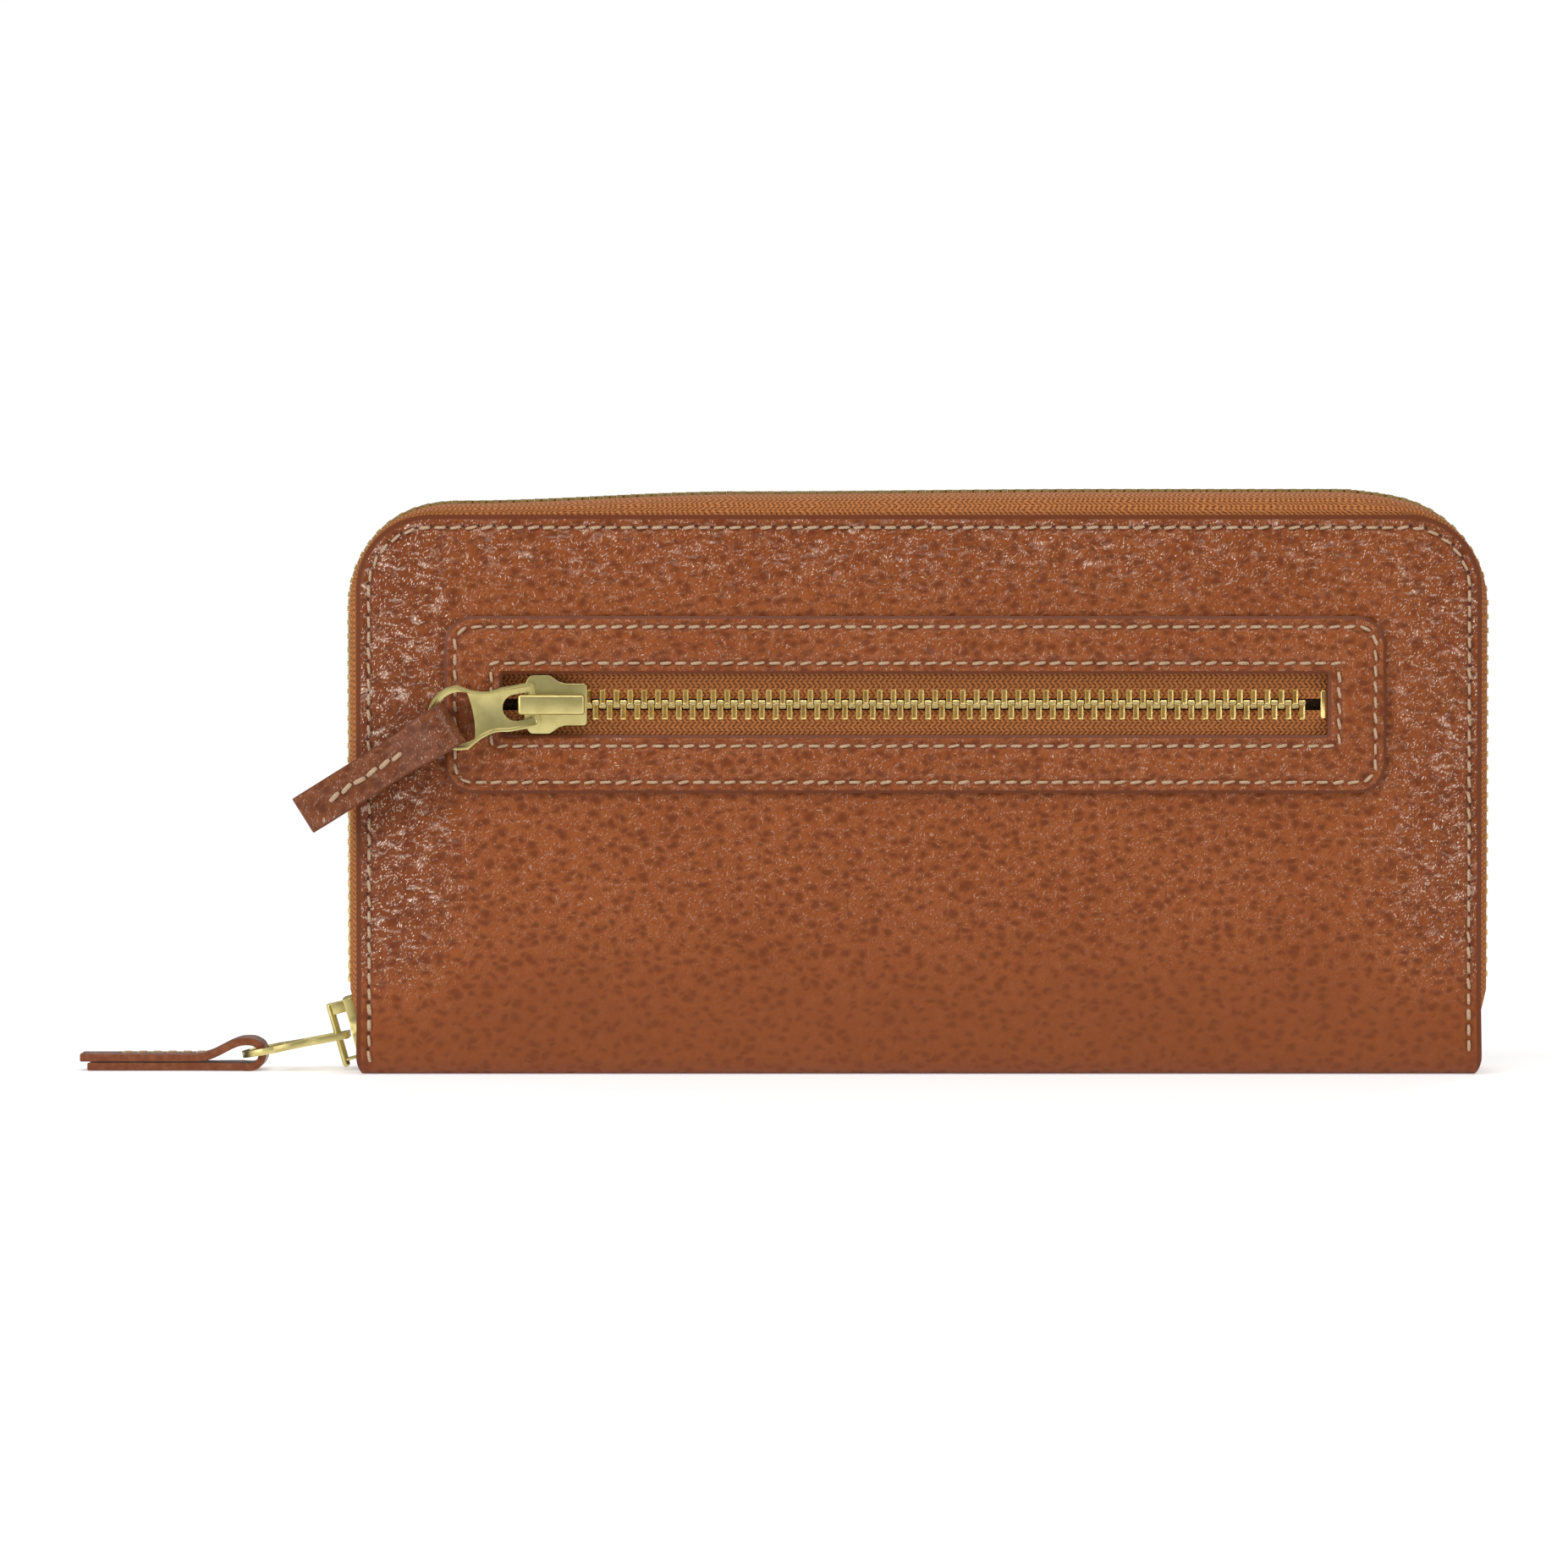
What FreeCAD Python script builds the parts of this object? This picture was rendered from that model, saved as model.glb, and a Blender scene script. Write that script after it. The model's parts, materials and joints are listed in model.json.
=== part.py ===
"""Zip around wallet: two leather covers on a spine, three zips, card slots and a coin pocket.

Frame: millimetres, +Z up, front cover towards -Y, +X to the right of somebody facing the front.
The wallet stands on its spine and the origin is the centre of the spine's underside.
"""

import FreeCAD
import Part
import math
import os

V = FreeCAD.Vector

# Covers
PANEL_WIDTH = 196.0
PANEL_HEIGHT = 97.5
PANEL_TOP_RADIUS = 13.0
PANEL_BOTTOM_RADIUS = 2.0
WALLET_DEPTH = 26.0
LEATHER = 1.4
BOARD = 0.55
CLOTH = 0.4
FOLD_GAP = 0.3
MARGIN = 7.5

# Perimeter stitching
STITCH_INSET = 2.25
STITCH_FOOT = 2.0
THREAD = 0.5
THREAD_PROUD = 0.25

# Main zip
CHAIN_OUT_SIDE = 1.0
CHAIN_OUT_TOP = 3.0
CHAIN_CORNER = 19.0
CHAIN_TILT = 16.0
KNEE_HEIGHT = 14.4
TEETH_ABOVE_KNEE = 1.0
FOOT_HEIGHT = 2.7
TAPE = 0.6

# Zip teeth, shared by the main and the pocket zip
CHAIN_WIDTH = 5.2
TOOTH_PITCH = 2.41
TOOTH_LEG = 0.95
TOOTH_MESH = 0.9
TOOTH_THICK = 2.2

# Front pocket
PATCH_X = -0.7
PATCH_BELOW_TOP = 17.6
PATCH_SIDE_MARGIN = 16.15
PATCH_RADIUS = 5.0
PATCH_THICK = 1.2
PATCH_BAND = 10.1
WINDOW_CLEAR = 0.2
WINDOW_RADIUS = 0.6
PATCH_STITCH_OUTER = 1.9
PATCH_STITCH_INNER = 1.9
POCKET_TAPE_WIDTH = 24.0
POCKET_TAPE_HEM = 6.25
POCKET_ABOVE_SPINE = 18.5
BAG_ABOVE_TAPE = 1.5
BAG_OVER_TAPE = 2.0
STOP_WIDTH = 1.2
TEETH_END_GAP = 2.0
STOP_CLEAR = 0.05

# Slider of the main and pocket zips
SLIDER_LENGTH = 10.9
SLIDER_MOUTH_OVER_CHAIN = 5.0
SLIDER_HEEL_OVER_CHAIN = 2.1
SLIDER_PLATE = 1.1
SLIDER_FLANGE = 0.9
SLIDER_PLAY = 0.2
SHOULDER_SHARE = 0.42
CHANNEL_OVERRUN = 2.0
TAPE_SLOT = 1.1
POST_LENGTH = 3.0
POST_WIDTH = 2.6
CROWN_WIDTH = 3.5
CROWN_OVERHANG = 1.0
CROWN_FOOT = 0.45
CROWN_BACK_FOOT = 2.2
CROWN_END_GAP = 0.3
CROWN_ROUND = 0.45
CROWN_GAP = 2.2
CROWN_THICK = 1.1

# Pull tab and leather strap
TAB_LENGTH = 18.6
TAB_THICK = 1.15
TAB_FORK = 7.8
TAB_SLOT = 4.6
TAB_SLOT_LENGTH = 5.4
TAB_WAIST = 7.2
TAB_BAR = 1.0
TAB_TIP = 0.1
TAB_FORK_SHORT = 0.3
RING_RADIUS = 5.7
RING_BAND = 1.25
RING_OPEN = 1.9
PIVOT_ABOVE_PLATE = 1.4
STRAP_WIDTH = 7.0
STRAP_THICK = 3.1
STRAP_WALL = 1.05
LOOP_HOLE = 1.95
STRAP_CORNER = 0.8
STRAP_LOOP_BITE = 1.43
STRAP_STITCHES = 6
STRAP_STITCH_PITCH = 2.5
STRAP_STITCH_LENGTH = 1.9
STRAP_STITCH_START = 5.0

# Where the main slider and its pull rest
MAIN_SLIDER_HEIGHT = 8.2
MAIN_PIVOT_FROM_MOUTH = 4.45
MAIN_STRAP_LENGTH = 29.8

# Where the pocket slider and its pull rest
POCKET_SLIDER_FROM_END = 3.8
POCKET_PIVOT_FROM_MOUTH = 1.6
POCKET_TAB_DROOP = 10.0
POCKET_STRAP_DROOP = 32.0
POCKET_STRAP_LENGTH = 28.0

# Card slots
SLOT_COUNT = 4
SLOT_THICK = 0.3
SLOT_SIDE_MARGIN = 8.0
SLOT_TOP_MARGIN = 28.0
SLOT_STEP = 10.5
SLOT_FOOT_GAP = 4.0
LINING_BEHIND_LEATHER = 3.7
LINING_FOOT_GAP = 1.3
BOARD_FOOT = 3.0
BOARD_SIDE_GAP = 2.0
BOARD_TAPE_GAP = 0.5
SPINE_LINING = 0.5
SPINE_END_GAP = 0.2

# Coin pocket in the middle
COIN_SIDE_MARGIN = 10.0
COIN_INSIDE = 4.2
COIN_BELOW_TOP = 35.5
COIN_CHAIN_ABOVE_WALL = 8.0
COIN_CHAIN_WIDTH = 4.0
COIN_TAPE_OUT = 5.0
COIN_TOOTH_PITCH = 2.0
COIN_TOOTH_LEG = 0.8
COIN_TOOTH_THICK = 1.7
COIN_TOOTH_MESH = 0.7
COIN_SLIDER_LENGTH = 9.0
COIN_MOUTH_OVER_CHAIN = 3.2
COIN_HEEL_OVER_CHAIN = 1.8
COIN_SLIDER_FROM_END = 16.0
COIN_PIVOT_FROM_MOUTH = 1.4
COIN_TEETH_END_GAP = 3.0
COIN_STOP_FROM_END = 1.2
COIN_STOP_WIDTH = 1.0
COIN_TAPE_HEM = 4.0
COIN_TAPE_KNEE = 1.0
COIN_TAB_LENGTH = 15.0
COIN_TAB_WIDTH = 6.0
COIN_TAB_CORNER = 2.0
GUSSET_FOLD = 16.0
GUSSET_FOOT_GAP = 3.0
GUSSET_TOP_GAP = 7.0
GUSSET_CREASE = 1.6
CLEAR = 0.05

# Worked out from the sizes above
SLIDER_MOUTH = CHAIN_WIDTH + SLIDER_MOUTH_OVER_CHAIN
SLIDER_HEEL = CHAIN_WIDTH + SLIDER_HEEL_OVER_CHAIN
COIN_SLIDER_MOUTH = COIN_CHAIN_WIDTH + COIN_MOUTH_OVER_CHAIN
COIN_SLIDER_HEEL = COIN_CHAIN_WIDTH + COIN_HEEL_OVER_CHAIN
MAIN_PIVOT_ALONG = MAIN_PIVOT_FROM_MOUTH - SLIDER_LENGTH / 2
POCKET_PIVOT_ALONG = POCKET_PIVOT_FROM_MOUTH - SLIDER_LENGTH / 2
COIN_PIVOT_ALONG = COIN_PIVOT_FROM_MOUTH - COIN_SLIDER_LENGTH / 2
HALF_DEPTH = WALLET_DEPTH / 2
HALF_WIDTH = PANEL_WIDTH / 2
INNER_FACE = HALF_DEPTH - LEATHER
CHAIN_HALF = HALF_WIDTH + CHAIN_OUT_SIDE
CHAIN_TOP = PANEL_HEIGHT + CHAIN_OUT_TOP
COIN_OUTSIDE = COIN_INSIDE / 2 + CLOTH
COIN_WIDTH = PANEL_WIDTH - 2 * COIN_SIDE_MARGIN
COIN_HEIGHT = PANEL_HEIGHT - COIN_BELOW_TOP
COIN_CHAIN_HEIGHT = COIN_HEIGHT + COIN_CHAIN_ABOVE_WALL
COIN_SLIDER_X = -COIN_WIDTH / 2 + COIN_SLIDER_FROM_END
SPINE_TOP = LEATHER + SPINE_LINING
LINING_FACE = INNER_FACE - LINING_BEHIND_LEATHER
SLOT_WIDTH = PANEL_WIDTH - 2 * SLOT_SIDE_MARGIN
SLOT_LOWEST = PANEL_HEIGHT - SLOT_TOP_MARGIN - (SLOT_COUNT - 1) * SLOT_STEP
WINDOW_HEIGHT = SLIDER_MOUTH + 2 * WINDOW_CLEAR
PATCH_WIDTH = PANEL_WIDTH - 2 * PATCH_SIDE_MARGIN
PATCH_HEIGHT = WINDOW_HEIGHT + 2 * PATCH_BAND
PATCH_Z = PANEL_HEIGHT - PATCH_BELOW_TOP - PATCH_HEIGHT / 2
WINDOW_WIDTH = PATCH_WIDTH - 2 * PATCH_BAND
WINDOW_LEFT = PATCH_X - WINDOW_WIDTH / 2
WINDOW_RIGHT = PATCH_X + WINDOW_WIDTH / 2
POCKET_WIDTH = WINDOW_WIDTH + 2 * POCKET_TAPE_HEM
POCKET_TAPE = CLOTH + 0.1
POCKET_CHAIN_Y = -(INNER_FACE - POCKET_TAPE / 2)
POCKET_SLIDER_X = WINDOW_LEFT + POCKET_SLIDER_FROM_END + SLIDER_LENGTH / 2
RING_CENTRE = -(TAB_LENGTH - RING_RADIUS)
LOOP_RADIUS = LOOP_HOLE + STRAP_WALL
LOOP_IN_RING = math.sqrt((RING_RADIUS - RING_BAND) ** 2 - (STRAP_WIDTH / 2) ** 2)
LOOP_CENTRE = RING_CENTRE - LOOP_IN_RING - STRAP_LOOP_BITE


def box(x0, x1, y0, y1, z0, z1):
    """Block between two corners."""
    return Part.makeBox(x1 - x0, y1 - y0, z1 - z0, V(x0, y0, z0))


def polygon(points):
    """Face from a list of corner points."""
    return Part.Face(Part.makePolygon(points + [points[0]]))


def arch_face(half_width, low, high, top_radius, bottom_radius=0.0, centre=0.0):
    """Upright face with rounded top corners and, if wanted, rounded bottom corners."""
    turn = math.sqrt(0.5)
    corners = [
        (centre - half_width, low, 1, 1, bottom_radius),
        (centre - half_width, high, 1, -1, top_radius),
        (centre + half_width, high, -1, -1, top_radius),
        (centre + half_width, low, -1, 1, bottom_radius),
    ]
    ends = []
    for number, (x, z, dx, dz, radius) in enumerate(corners):
        along_z = V(x, 0, z + dz * radius)
        along_x = V(x + dx * radius, 0, z)
        middle = V(x + dx * radius * (1 - turn), 0, z + dz * radius * (1 - turn))
        first, last = (along_x, along_z) if number in (0, 2) else (along_z, along_x)
        ends.append((first, middle, last, radius))
    edges = []
    for number, (first, middle, last, radius) in enumerate(ends):
        if radius > 0:
            edges.append(Part.Arc(first, middle, last).toShape())
        following = ends[(number + 1) % len(ends)][0]
        edges.append(Part.LineSegment(last, following).toShape())
    return Part.Face(Part.Wire(edges))


def rounded_face(centre_x, centre_z, width, height, radius):
    """Upright rectangle with four equal rounded corners."""
    low = centre_z - height / 2
    return arch_face(width / 2, low, low + height, radius, radius, centre_x)


def slab(face, y0, y1):
    """Plate between two depths from an upright face."""
    plate = face.extrude(V(0, y1 - y0, 0))
    plate.translate(V(0, y0, 0))
    return plate


def placed(shape, placement):
    """Copy of a shape carried to its place."""
    copy = shape.copy()
    copy.transformShape(placement.toMatrix())
    return copy


def frame(origin, x_axis, y_axis):
    """Placement from an origin and two perpendicular unit axes."""
    z_axis = x_axis.cross(y_axis)
    matrix = FreeCAD.Matrix(
        x_axis.x, y_axis.x, z_axis.x, origin.x,
        x_axis.y, y_axis.y, z_axis.y, origin.y,
        x_axis.z, y_axis.z, z_axis.z, origin.z,
        0, 0, 0, 1,
    )
    return FreeCAD.Placement(matrix)


def mirrored_back(shape):
    """The same piece for the back cover."""
    return shape.mirror(V(0, 0, 0), V(0, 1, 0))


def cover_leather(window):
    """Outer leather of the front cover, with the pocket's window if it has one."""
    face = arch_face(HALF_WIDTH, 0, PANEL_HEIGHT, PANEL_TOP_RADIUS, PANEL_BOTTOM_RADIUS)
    panel = slab(face, -HALF_DEPTH, -INNER_FACE)
    if window:
        panel = panel.cut(slab(window_face(), -HALF_DEPTH - 1, -INNER_FACE + 1))
    return panel


def window_face():
    """The slot that shows the pocket zip."""
    return rounded_face(PATCH_X, PATCH_Z, WINDOW_WIDTH, WINDOW_HEIGHT, WINDOW_RADIUS)


def cover_board(window):
    """Stiffening board glued behind the leather, cut away round the pocket zip."""
    half = HALF_WIDTH - MARGIN
    face = arch_face(half, BOARD_FOOT, PANEL_HEIGHT - MARGIN, PANEL_TOP_RADIUS - MARGIN / 2)
    board = slab(face, -INNER_FACE, -INNER_FACE + BOARD)
    if window:
        wide = POCKET_WIDTH / 2 + BOARD_SIDE_GAP
        tall = POCKET_TAPE_WIDTH / 2 + BOARD_TAPE_GAP
        hole = box(
            PATCH_X - wide, PATCH_X + wide,
            -INNER_FACE - 1, -INNER_FACE + BOARD + 1,
            PATCH_Z - tall, PATCH_Z + tall,
        )
        board = board.cut(hole)
    return board


def cover_thread():
    """Line of stitching along the two sides and the top of a cover."""
    outer = STITCH_INSET - THREAD / 2
    inner = STITCH_INSET + THREAD / 2
    foot = STITCH_FOOT
    wide = arch_face(HALF_WIDTH - outer, foot, PANEL_HEIGHT - outer, PANEL_TOP_RADIUS - outer)
    narrow = arch_face(HALF_WIDTH - inner, foot - 1, PANEL_HEIGHT - inner, PANEL_TOP_RADIUS - inner)
    return slab(wide.cut(narrow), -HALF_DEPTH - THREAD_PROUD, -HALF_DEPTH)


def cover_lining():
    """Lining that carries the card slots."""
    half = HALF_WIDTH - MARGIN
    face = arch_face(half, SPINE_TOP + LINING_FOOT_GAP, PANEL_HEIGHT - MARGIN, PANEL_TOP_RADIUS - MARGIN / 2)
    return slab(face, -LINING_FACE - CLOTH, -LINING_FACE)


def card_slot(number):
    """One stepped card slot; number 0 is the lowest and lies nearest the wallet's middle."""
    depth = LINING_FACE - (SLOT_COUNT - 1 - number) * SLOT_THICK
    low = SPINE_TOP + SLOT_FOOT_GAP
    top = SLOT_LOWEST + number * SLOT_STEP
    return box(-SLOT_WIDTH / 2, SLOT_WIDTH / 2, -depth, -depth + SLOT_THICK, low, top)


def chain_face(grow, drop):
    """Area under the main zip's path, whose legs lean in below the knee."""
    half = CHAIN_HALF + grow
    top = CHAIN_TOP + grow
    radius = CHAIN_CORNER + grow
    foot = FOOT_HEIGHT - drop
    lean = (KNEE_HEIGHT - foot) * math.tan(math.radians(CHAIN_TILT))
    bend = radius * (1 - math.sqrt(0.5))
    edges = []
    for side in (-1, 1):
        foot_point = V(side * (half - lean), 0, foot)
        knee = V(side * half, 0, KNEE_HEIGHT)
        shoulder = V(side * half, 0, top - radius)
        crest = V(side * (half - radius), 0, top)
        middle = V(side * (half - bend), 0, top - bend)
        edges.append(Part.LineSegment(foot_point, knee).toShape())
        edges.append(Part.LineSegment(knee, shoulder).toShape())
        edges.append(Part.Arc(shoulder, middle, crest).toShape())
    span = half - radius
    edges.append(Part.LineSegment(V(-span, 0, top), V(span, 0, top)).toShape())
    edges.append(Part.LineSegment(V(-half + lean, 0, foot), V(half - lean, 0, foot)).toShape())
    return Part.Face(Part.Wire(Part.sortEdges(edges)[0]))


def main_tape():
    """Tape of the main zip on the front: a wall towards the teeth and a hem behind the leather."""
    band = chain_face(TAPE / 2, 0).cut(chain_face(-TAPE / 2, 1))
    wall = slab(band, -INNER_FACE, -CHAIN_WIDTH / 2)
    half = HALF_WIDTH - MARGIN
    inside = arch_face(half, 0, PANEL_HEIGHT - MARGIN, PANEL_TOP_RADIUS - MARGIN / 2)
    hem = slab(chain_face(TAPE / 2, 0).cut(inside), -INNER_FACE, -INNER_FACE + TAPE)
    return wall.fuse(hem).removeSplitter()


def tooth(width, mesh, leg, thick):
    """One tooth: along X its leg, towards +Y its head, Z through the tape."""
    return box(-leg / 2, leg / 2, -width / 2, mesh, -thick / 2, thick / 2)


def main_teeth(back):
    """Row of teeth round the left side, the top and the right side."""
    low = KNEE_HEIGHT + TEETH_ABOVE_KNEE
    leg = CHAIN_TOP - CHAIN_CORNER - low
    bend = CHAIN_CORNER * math.pi / 2
    top = 2 * (CHAIN_HALF - CHAIN_CORNER)
    whole = 2 * leg + 2 * bend + top
    count = int(whole / TOOTH_PITCH) - 1
    pattern = tooth(CHAIN_WIDTH, TOOTH_MESH, TOOTH_LEG, TOOTH_THICK)
    if back:
        pattern = mirrored_back(pattern)
    teeth = []
    for number in range(count):
        along = (number + (1.0 if back else 0.5)) * TOOTH_PITCH
        x, z, angle = chain_station(along, low, leg, bend, top)
        turn = FreeCAD.Rotation(V(0, 1, 0), -angle)
        teeth.append(placed(pattern, FreeCAD.Placement(V(x, 0, z), turn)))
    return Part.makeCompound(teeth)


def chain_station(along, low, leg, bend, top):
    """Place and heading in degrees of a point that far along the main zip."""
    left = -CHAIN_HALF + CHAIN_CORNER
    shoulder = CHAIN_TOP - CHAIN_CORNER
    if along < leg:
        return -CHAIN_HALF, low + along, 90.0
    if along < leg + bend:
        angle = (along - leg) / CHAIN_CORNER
        x = left - CHAIN_CORNER * math.cos(angle)
        return x, shoulder + CHAIN_CORNER * math.sin(angle), 90.0 - math.degrees(angle)
    if along < leg + bend + top:
        return left + along - leg - bend, CHAIN_TOP, 0.0
    if along < leg + 2 * bend + top:
        angle = (along - leg - bend - top) / CHAIN_CORNER
        x = -left + CHAIN_CORNER * math.sin(angle)
        return x, shoulder + CHAIN_CORNER * math.cos(angle), -math.degrees(angle)
    return CHAIN_HALF, shoulder - (along - leg - 2 * bend - top), -90.0


def patch_leather():
    """Leather frame stitched over the pocket zip."""
    face = rounded_face(PATCH_X, PATCH_Z, PATCH_WIDTH, PATCH_HEIGHT, PATCH_RADIUS)
    front = -HALF_DEPTH - PATCH_THICK
    return slab(face.cut(window_face()), front, -HALF_DEPTH)


def thread_ring(width, height, radius):
    """Closed line of stitching on the patch."""
    half = THREAD / 2
    outer = rounded_face(PATCH_X, PATCH_Z, width + THREAD, height + THREAD, radius + half)
    inner = rounded_face(PATCH_X, PATCH_Z, width - THREAD, height - THREAD, radius - half)
    front = -HALF_DEPTH - PATCH_THICK
    return slab(outer.cut(inner), front - THREAD_PROUD, front)


def patch_outer_thread():
    """Stitching along the patch's outer edge."""
    cut = 2 * PATCH_STITCH_OUTER
    radius = PATCH_RADIUS - PATCH_STITCH_OUTER
    return thread_ring(PATCH_WIDTH - cut, PATCH_HEIGHT - cut, radius)


def patch_inner_thread():
    """Stitching round the window."""
    add = 2 * PATCH_STITCH_INNER
    return thread_ring(WINDOW_WIDTH + add, WINDOW_HEIGHT + add, WINDOW_RADIUS)


def pocket_tape(side):
    """Half of the pocket zip's tape; side is 1 for the upper half."""
    near = CHAIN_WIDTH / 2
    far = POCKET_TAPE_WIDTH / 2
    low, high = sorted((PATCH_Z + side * near, PATCH_Z + side * far))
    left = PATCH_X - POCKET_WIDTH / 2
    right = PATCH_X + POCKET_WIDTH / 2
    return box(left, right, -INNER_FACE, -INNER_FACE + POCKET_TAPE, low, high)


def pocket_teeth(side):
    """Row of the pocket zip's teeth; side is 1 for the upper row."""
    pattern = tooth(CHAIN_WIDTH, TOOTH_MESH, TOOTH_LEG, TOOTH_THICK)
    upright = placed(pattern, FreeCAD.Placement(V(), FreeCAD.Rotation(V(1, 0, 0), -90 * side)))
    start = POCKET_SLIDER_X - SLIDER_LENGTH / 2 + POST_LENGTH + TOOTH_LEG
    count = int((WINDOW_RIGHT - TEETH_END_GAP - start) / TOOTH_PITCH)
    shift = 0.0 if side > 0 else TOOTH_PITCH / 2
    row = []
    for number in range(count):
        x = start + shift + number * TOOTH_PITCH
        row.append(placed(upright, FreeCAD.Placement(V(x, POCKET_CHAIN_Y, PATCH_Z), FreeCAD.Rotation())))
    return Part.makeCompound(row)


def pocket_stop():
    """Crimped stop across both tapes at the right end of the pocket zip."""
    x = WINDOW_RIGHT - STOP_WIDTH / 2
    half = TOOTH_THICK / 2
    near = CHAIN_WIDTH / 2 - STOP_CLEAR
    front = POCKET_CHAIN_Y - half
    back = POCKET_CHAIN_Y + half
    return box(x - STOP_WIDTH / 2, x + STOP_WIDTH / 2, front, back, PATCH_Z - near, PATCH_Z + near)


def pocket_bag():
    """Cloth bag of the front pocket, open at the zip."""
    left = PATCH_X - POCKET_WIDTH / 2
    right = PATCH_X + POCKET_WIDTH / 2
    low = POCKET_ABOVE_SPINE
    high = PATCH_Z + POCKET_TAPE_WIDTH / 2 + BAG_ABOVE_TAPE
    front = -INNER_FACE + BOARD + CLEAR
    back = -LINING_FACE - CLOTH - CLEAR
    outside = box(left, right, front, back, low, high)
    inside = box(left + CLOTH, right - CLOTH, front + CLOTH, back - CLOTH, low + CLOTH, high - CLOTH)
    mouth_low = PATCH_Z - POCKET_TAPE_WIDTH / 2 + BAG_OVER_TAPE
    mouth = box(left + CLOTH, right - CLOTH, front - 1, front + 1, mouth_low, high - CLOTH)
    return outside.cut(inside).cut(mouth)


def slider_outline(length, mouth, heel):
    """Outline of a slider plate: wide towards -X, the mouth, and narrow towards +X, the heel."""
    half = length / 2
    shoulder = -half + length * SHOULDER_SHARE
    points = [
        V(-half, 0, -mouth / 2 + 1), V(-half, 0, mouth / 2 - 1), V(-half + 1, 0, mouth / 2),
        V(shoulder, 0, mouth / 2), V(half - 1, 0, heel / 2), V(half, 0, heel / 2 - 1),
        V(half, 0, -heel / 2 + 1), V(half - 1, 0, -heel / 2), V(shoulder, 0, -mouth / 2),
        V(-half + 1, 0, -mouth / 2),
    ]
    return polygon(points)


def slider_body(length, mouth, heel, thick):
    """Slider in its own frame: chain along X, crown towards -Y, width along Z."""
    inner = thick / 2 + SLIDER_PLAY
    outer = inner + SLIDER_PLATE
    outline = slider_outline(length, mouth, heel)
    cut = 2 * SLIDER_FLANGE
    channel = slider_outline(length + 2 * CHANNEL_OVERRUN, mouth - cut, heel - cut)
    whole = slab(outline, -outer, outer)
    whole = whole.cut(slab(channel, -inner, inner))
    slot = TAPE_SLOT / 2
    whole = whole.cut(box(-length, length, -slot, slot, -mouth, mouth))
    post = slab(post_outline(length), -inner, inner)
    return whole.fuse(post).removeSplitter()


def post_outline(length):
    """Wedge that parts the two rows of teeth."""
    front = -length / 2
    half = POST_WIDTH / 2
    points = [
        V(front, 0, -half * 0.5), V(front, 0, half * 0.5), V(front + 1, 0, half),
        V(front + POST_LENGTH, 0, 0), V(front + 1, 0, -half),
    ]
    return polygon(points)


def slider_crown(length, thick):
    """Bridge over the slider that holds the pull tab's bar."""
    plate = thick / 2 + SLIDER_PLAY + SLIDER_PLATE
    left = -length / 2
    right = length / 2 - CROWN_END_GAP
    under = plate + CROWN_GAP
    top = under + CROWN_THICK
    half = CROWN_WIDTH / 2
    bridge = box(left - CROWN_OVERHANG, right, -top, -under, -half, half)
    front_foot = box(left, left + CROWN_FOOT, -under, -plate, -half, half)
    back_foot = box(right - CROWN_BACK_FOOT, right, -under, -plate, -half, half)
    crown = bridge.fuse(front_foot).fuse(back_foot).removeSplitter()
    edges = [e for e in crown.Edges if on_crown_top(e, top)]
    return crown.makeFillet(CROWN_ROUND, edges)


def on_crown_top(edge, top):
    """Whether an edge lies on the crown's outer face."""
    bounds = edge.BoundBox
    return bounds.YMax < -top + 0.01


def pull_tab():
    """Pull tab in its own frame: bar on the Z axis, ring towards -X, thin along Y."""
    fork = TAB_FORK / 2
    waist = TAB_WAIST / 2
    ring_x = RING_CENTRE
    fork_end = -TAB_SLOT_LENGTH + TAB_FORK_SHORT
    waist_x = (ring_x + fork_end) / 2
    tip = TAB_BAR / 2 + TAB_TIP
    top = [
        Part.LineSegment(V(tip, 0, fork), V(fork_end, 0, fork)).toShape(),
        Part.Arc(V(fork_end, 0, fork), V(waist_x, 0, waist), V(ring_x, 0, RING_RADIUS)).toShape(),
    ]
    low = [edge.mirror(V(), V(0, 0, 1)) for edge in top]
    ring = Part.Arc(V(ring_x, 0, RING_RADIUS), V(-TAB_LENGTH, 0, 0), V(ring_x, 0, -RING_RADIUS)).toShape()
    end = Part.LineSegment(V(tip, 0, -fork), V(tip, 0, fork)).toShape()
    outline = Part.Face(Part.Wire(Part.sortEdges(top + low + [ring, end])[0]))
    half = TAB_THICK / 2
    tab = slab(outline, -half, half)
    hole = Part.makeCylinder(RING_RADIUS - RING_BAND, 4, V(ring_x, -2, 0), V(0, 1, 0))
    hole = hole.common(box(-TAB_LENGTH, ring_x + RING_OPEN, -2, 2, -9, 9))
    slot_end = -TAB_SLOT_LENGTH + TAB_SLOT / 2
    slot = box(slot_end, -TAB_BAR / 2, -2, 2, -TAB_SLOT / 2, TAB_SLOT / 2)
    slot = slot.fuse(Part.makeCylinder(TAB_SLOT / 2, 4, V(slot_end, -2, 0), V(0, 1, 0)))
    return tab.cut(hole).cut(slot).removeSplitter()


def strap(length):
    """Leather strap folded round the ring: hole centre at the origin, free end towards -X."""
    half = STRAP_WIDTH / 2
    face = LOOP_RADIUS
    loop = Part.makeCylinder(LOOP_RADIUS, STRAP_WIDTH, V(0, 0, -half))
    flat = box(-length, 0, face - STRAP_THICK, face, -half, half)
    corners = [e for e in flat.Edges if e.BoundBox.XMax < -length + 0.01 and e.BoundBox.YLength > 1]
    flat = flat.makeFillet(STRAP_CORNER, corners)
    hole = Part.makeCylinder(LOOP_HOLE, STRAP_WIDTH + 2, V(0, 0, -half - 1))
    return loop.fuse(flat).cut(hole).removeSplitter()


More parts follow.
